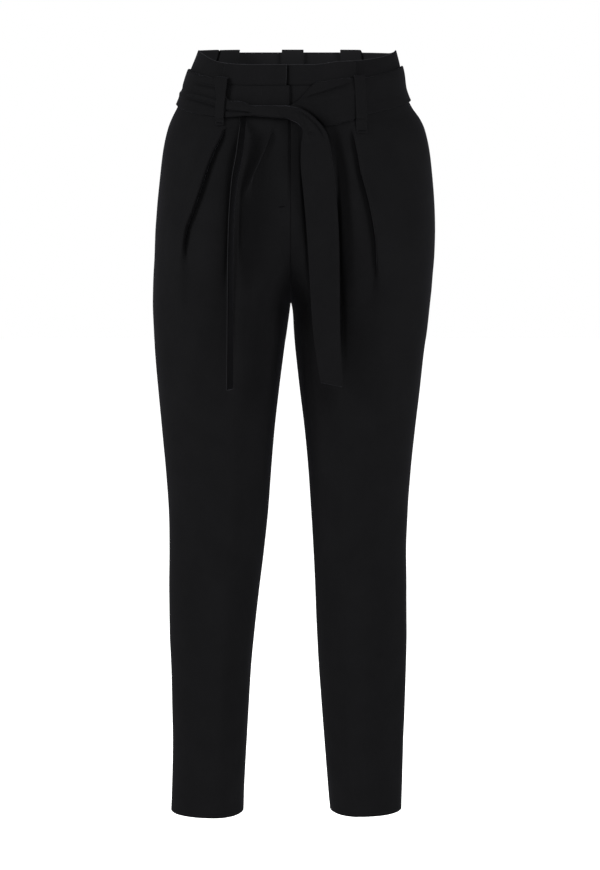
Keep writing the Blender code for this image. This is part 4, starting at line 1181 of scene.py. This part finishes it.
def belt_half(side):
    """Half of the sash round the waist, with the creases it is pulled into."""
    right = side == RIGHT
    xs, *fields = zip(*(BELT_RIGHT_FRONT if right else BELT_LEFT_FRONT))
    places = np.linspace(xs[0], xs[-1], int((xs[-1] - xs[0]) / BELT_COLUMN))
    before = np.stack([curve_through(xs, field, places) for field in fields])
    turns = turn_at("front", places)
    back = 2.0 - seam_turns()
    behind = np.linspace(-back, turns[0], BELT_ROUND_BACK)[:-1] if right else (
        np.linspace(turns[-1], back, BELT_ROUND_BACK)[1:])
    parts = [(behind, belt_side(behind)), (turns, before)]
    turns, values = (np.concatenate(part, -1) for part in zip(*(parts if right else parts[::-1])))
    bottom, off, thick = values[1:]
    height = values[0] - bottom
    edge = np.array(BELT_EDGE)[:, None] / BELT_WIDTH
    up = np.concatenate([edge, np.linspace(edge[-1], 1.0 - edge[-1], BELT_ROWS)[1:-1], 1.0 - edge[::-1]])
    z = bottom + height * up
    turns = np.broadcast_to(turns, z.shape)
    crown = BELT_CROWN * np.sin(np.pi * up)
    rounded = BELT_ROUNDED * thick * bell(np.minimum(up, 1 - up) * height, BELT_ROUNDED_WIDTH)
    flat = ring_place(turns, z, 0.0)
    normal = facing(flat, ring_place(turns, z, 1.0) - flat)
    moved = crease_rise(flat[..., 0], flat[..., 2], BELT_CREASES[side], 0.25) * cloth_settings().crease_depth
    outer = ring_place(turns, z, off + thick + crown - rounded) + normal * moved[..., None]
    sunk = 0.5 * np.minimum(moved, 0.0)
    inner = ring_place(turns, z, off + crown * INSIDE_CROWN + rounded * INSIDE_ROUNDED)
    inner += normal * sunk[..., None]
    name = "cloth_belt_" + ("right" if right else "left")
    # Its edges are painted lighter, as a highlight.
    return cloth_shell(name, outer, inner, sash_finish(), edge_finish())


def ribbon(name, table, slant=0.0, creases=(), sway=0.0, between=10, across=22, finish=None, edge=None,
           shaded=None):
    """A strip of sash swept along the stops of a table. slant is how much lower one corner of its end hangs
    than the other, and sway how far the strip's edges wave."""
    at = np.linspace(0, len(table) - 1, (len(table) - 1) * between + 1)
    x, y, z, width, thick, roll = (curve_through(range(len(table)), column, at) for column in zip(*table))
    middles = np.stack([x, y, z], 1)
    along = unit(np.gradient(middles, axis=0))
    roll = np.radians(roll)
    face = np.stack([np.sin(roll), -np.cos(roll), 0 * roll], 1)
    face = unit(face - along * np.sum(face * along, 1)[:, None])
    over = np.cross(face, along)
    up = np.concatenate([RIBBON_EDGE, np.linspace(0.09, 0.91, across - 5), 1 - RIBBON_EDGE[::-1]]) - 0.5
    down = np.linspace(0, 1, len(at))[:, None]
    net = middles[:, None] + over[:, None] * (width[:, None] * up)[..., None]
    net[..., 2] -= slant * down * up
    crown = RIBBON_CROWN * thick[:, None] * (1 - (2 * up) ** 2)
    crown = crown + sway * np.sin(down * RIBBON_WAVES) * up ** 2 * 4
    half = thick[:, None] / 2 * (1 - RIBBON_ROUNDED * bell((0.5 - np.abs(up)) * width[:, None], EDGE_SOFT))
    moved = crease_rise(net[..., 0], net[..., 2], creases, 0.3) * cloth_settings().crease_depth
    outer = net + face[:, None] * (half + crown + moved)[..., None]
    inner = net - face[:, None] * (half - crown - 0.5 * moved)[..., None]
    # Unless another finish is given, its edges are painted lighter, as a highlight.
    return cloth_shell(name, outer, inner, finish or sash_finish(), edge or edge_finish(), shaded=shaded)


class TROUSERS_OT_sash(Operator):
    """Makes the sash round the waist, its knot and its two hanging ends"""

    bl_idname = "trousers.sash"
    bl_label = "Sash"

    def execute(self, context):
        sewn(belt_half(LEFT), "belt_left")
        sewn(belt_half(RIGHT), "belt_right")
        knot = ribbon("cloth_belt_knot", KNOT, creases=KNOT_CREASES, between=12, across=46)
        sewn(knot, "belt_knot")
        wide = ribbon("cloth_belt_end_wide", WIDE_END, END_SLANT, END_CREASES, sway=0.5, edge=sash_finish(),
                      shaded=0)
        sewn(wide, "belt_end_wide")
        # The narrow end's faces are painted dark as shade; its rim is painted light as a highlight, except
        # its far edge, which is painted dark as shade.
        narrow = ribbon("cloth_belt_end_narrow", NARROW_END, sway=0.4, finish=shaded_sash_finish(),
                        edge=bright_edge_highlight_finish(), shaded=-1)
        sewn(narrow, "belt_end_narrow")
        return {"FINISHED"}


# ---------------------------------------------------------------- belt loops and tacks


def cloth_under(loop, turn, z):
    """How far a front's pleats stand out where a loop's foot is sewn to it."""
    if loop.face == "back":
        return 0.0
    side = RIGHT if loop.foot_x < 0 else LEFT
    shares, outs, _ = front_row(side, z)
    return float(np.interp(1.0 - side * turn, np.maximum.accumulate(shares), outs))


def belt_loop(loop):
    """A flat loop: sewn on above the sash, hooked over its top edge, and sewn down below it."""
    over = BELT_OFF + BELT_CLOTH + BELT_CROWN + LOOP_CLEAR
    top = loop.over + LOOP_CLEAR
    hook, bend = np.linspace(LOOP_HOOK, over, 5)[:-1], np.linspace(0.0, math.pi / 2, 8)
    fall = np.append(top - np.arange(0.4, top - loop.foot - 0.5, LOOP_ROW), loop.foot)
    heights = np.concatenate([top + 0 * hook, top + 0 * bend, fall])
    off = np.concatenate([hook, over + 0 * bend, over * smooth((fall - BELT_BOTTOM + LOOP_BEND) / LOOP_BEND)])
    tilt = np.concatenate([0 * hook, bend, math.pi / 2 + 0 * fall])
    rising = np.sin(tilt)[:, None], np.cos(tilt)[:, None]
    wider = LOOP_FLARE.get(loop.name, 0.0) * smooth((heights - top + FLARE_FROM) / FLARE_LENGTH)
    x = loop.foot_x + (loop.top_x - loop.foot_x) * (heights - loop.foot) / (top - loop.foot)
    x = (x - FLARE_SHIFT * loop.width * wider)[:, None] + LOOP_COLUMNS * loop.width * (1.0 + wider)[:, None]
    turns = turn_at(loop.face, x, heights[:, None])
    middle = turns[:, LOOP_COLUMNS == 0.0][:, 0]
    under = [cloth_under(loop, float(turn), z) if z < BAND_BOTTOM else 0.0
             for turn, z in zip(middle, heights)]
    off = np.maximum(np.array(under) + LOOP_SEAT, off)[:, None]
    from_edge = (0.5 - np.abs(LOOP_COLUMNS)) * loop.width
    rounded = LOOP_ROUNDED * LOOP_CLOTH * bell(from_edge, EDGE_SOFT)
    groove, groove_place, groove_width = LOOP_STITCHED
    thick = LOOP_CLOTH - rounded - groove * bell(from_edge - groove_place, groove_width)
    outer, inner = (ring_place(turns, heights[:, None] + rising[1] * away, off + rising[0] * away)
                    for away in (thick, rounded))
    return cloth_shell("cloth_" + loop.name, outer, inner, crepe_finish())


class TROUSERS_OT_belt_loops(Operator):
    """Makes the five belt loops"""

    bl_idname = "trousers.belt_loops"
    bl_label = "Belt Loops"

    def execute(self, context):
        for loop in LOOPS:
            sewn(belt_loop(loop), loop.name)
        return {"FINISHED"}


def tack(name, face, x, z, off, width, height, slope=0.0):
    """A bar tack: thread wound closely side by side, sewn on cloth that lies off the garment's surface."""
    count = round(width / THREAD)
    across = np.linspace(-0.5, 0.5, 4 * count + 1)
    up = np.linspace(-0.5, 0.5, 5)[:, None]
    heights = z + height * up + slope * across
    turns = turn_at(face, x + across * width, heights)
    wound = 0.6 + 0.4 * np.abs(np.sin(np.pi * count * (across + 0.5)))
    raised = THREAD_RISE * THREAD * wound * (1.0 - (2 * up) ** 4)
    outer, inner = (ring_place(turns, heights, off + rise) for rise in (raised, -TACK_SUNK))
    piece = cloth_shell(name, outer, inner, thread_finish())
    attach(piece, "root")


class TROUSERS_OT_tacks(Operator):
    """Sews the bar tacks at the fly's foot and at the loops"""

    bl_idname = "trousers.tacks"
    bl_label = "Bar Tacks"

    def execute(self, context):
        tack("tack_fly", "front", *FLY_TACK)
        for loop in LOOPS:
            z = loop.foot + LOOP_TACK
            x = loop.foot_x + (loop.top_x - loop.foot_x) * LOOP_TACK / (loop.over - loop.foot)
            off = cloth_under(loop, float(turn_at(loop.face, x, z)), z) + LOOP_SEAT + LOOP_CLOTH
            tack("tack_" + loop.name, loop.face, x, z, off, loop.width - TACK_SHORTER, TACK_HEIGHT)
        return {"FINISHED"}


# ---------------------------------------------------------------- the studio


def aimed(name, data, spot):
    """A lamp or camera that looks at the middle of the trousers from a spot."""
    piece = put_in(name, data)
    piece.location = spot
    piece.rotation_euler = (Vector(CAMERA_AIM) - Vector(spot)).to_track_quat("-Z", "Y").to_euler()
    return piece


class TROUSERS_OT_studio(Operator):
    """Sets up the floor, the lamps and the camera"""

    bl_idname = "trousers.studio"
    bl_label = "Studio"

    def execute(self, context):
        studio = context.scene.trousers_studio
        self.floor(studio)
        self.surround(context, studio)
        for name, (spot, size) in LAMPS.items():
            light = bpy.data.lights.new(name, "AREA")
            light.shape = "RECTANGLE"
            light.size, light.size_y = size
            light.energy = getattr(studio, name)
            aimed(name, light, spot)
        lens = bpy.data.cameras.new("studio_camera")
        lens.lens = CAMERA_LENS
        context.scene.camera = aimed("studio_camera", lens, CAMERA_PLACE)
        context.scene.view_settings.view_transform = "Standard"
        return {"FINISHED"}

    def floor(self, studio):
        """A round pale floor, its rings closer together under the trousers."""
        rings = np.linspace(0.0, 1.0, FLOOR_RINGS + 1)[1:, None] ** 2 * FLOOR_REACH
        angles = np.linspace(0.0, 2 * math.pi, FLOOR_SPOKES + 1)[:-1]
        points = np.stack([rings * np.cos(angles), rings * np.sin(angles), FLOOR + 0 * rings * angles], -1)
        net = np.arange(FLOOR_RINGS * FLOOR_SPOKES).reshape(FLOOR_RINGS, FLOOR_SPOKES)
        after = np.roll(net, -1, 1)
        faces = np.stack([net[:-1], net[1:], after[1:], after[:-1]], -1).reshape(-1, 4)
        mesh = bpy.data.meshes.new("studio_floor")
        mesh.from_pydata(points.reshape(-1, 3).tolist(), [], [net[0].tolist(), *faces.tolist()])
        mesh.materials.append(paper_finish(studio))
        put_in("studio_floor", mesh)

    def surround(self, context, studio):
        """White light all round, stronger from behind the trousers than from the room before them."""
        world = bpy.data.worlds.new("studio_light")
        world.use_nodes = True
        nodes, join = world.node_tree.nodes, world.node_tree.links.new
        around = nodes["Background"]
        around.inputs["Color"].default_value = (1.0, 1.0, 1.0, 1.0)
        where = nodes.new("ShaderNodeTexCoord")
        apart = nodes.new("ShaderNodeSeparateXYZ")
        level = nodes.new("ShaderNodeMapRange")
        for name, value in zip(("From Min", "From Max", "To Min", "To Max"),
                               (*ROOM_TO_SURROUND, studio.room, studio.surround)):
            level.inputs[name].default_value = value
        join(where.outputs["Generated"], apart.inputs["Vector"])
        join(apart.outputs["Y"], level.inputs["Value"])
        join(level.outputs["Result"], around.inputs["Strength"])
        context.scene.world = world


# ---------------------------------------------------------------- the add-on


class TROUSERS_PT_panel(Panel):
    bl_idname = "TROUSERS_PT_panel"
    bl_label = "Paperbag Waist Trousers"
    bl_space_type = "VIEW_3D"
    bl_region_type = "UI"
    bl_category = "Trousers"

    def draw(self, context):
        for settings in (context.scene.trousers_cloth, context.scene.trousers_studio):
            box = self.layout.box()
            for name in settings.bl_rna.properties.keys():
                if name not in ("rna_type", "name"):
                    box.prop(settings, name)
        for operator in OPERATORS:
            self.layout.operator(operator.bl_idname)


OPERATORS = (
    TROUSERS_OT_fronts,
    TROUSERS_OT_backs,
    TROUSERS_OT_waistband,
    TROUSERS_OT_frill,
    TROUSERS_OT_sash,
    TROUSERS_OT_belt_loops,
    TROUSERS_OT_tacks,
    TROUSERS_OT_studio,
)
CLASSES = (TROUSERS_PG_cloth, TROUSERS_PG_studio, *OPERATORS, TROUSERS_PT_panel)


def register():
    for cls in CLASSES:
        bpy.utils.register_class(cls)
    bpy.types.Scene.trousers_cloth = PointerProperty(type=TROUSERS_PG_cloth)
    bpy.types.Scene.trousers_studio = PointerProperty(type=TROUSERS_PG_studio)


def unregister():
    del bpy.types.Scene.trousers_studio
    del bpy.types.Scene.trousers_cloth
    for cls in reversed(CLASSES):
        bpy.utils.unregister_class(cls)


def main():
    register()
    bpy.ops.trousers.fronts()
    bpy.ops.trousers.backs()
    bpy.ops.trousers.waistband()
    bpy.ops.trousers.frill()
    bpy.ops.trousers.sash()
    bpy.ops.trousers.belt_loops()
    bpy.ops.trousers.tacks()
    bpy.ops.trousers.studio()


if __name__ == "__main__":
    main()
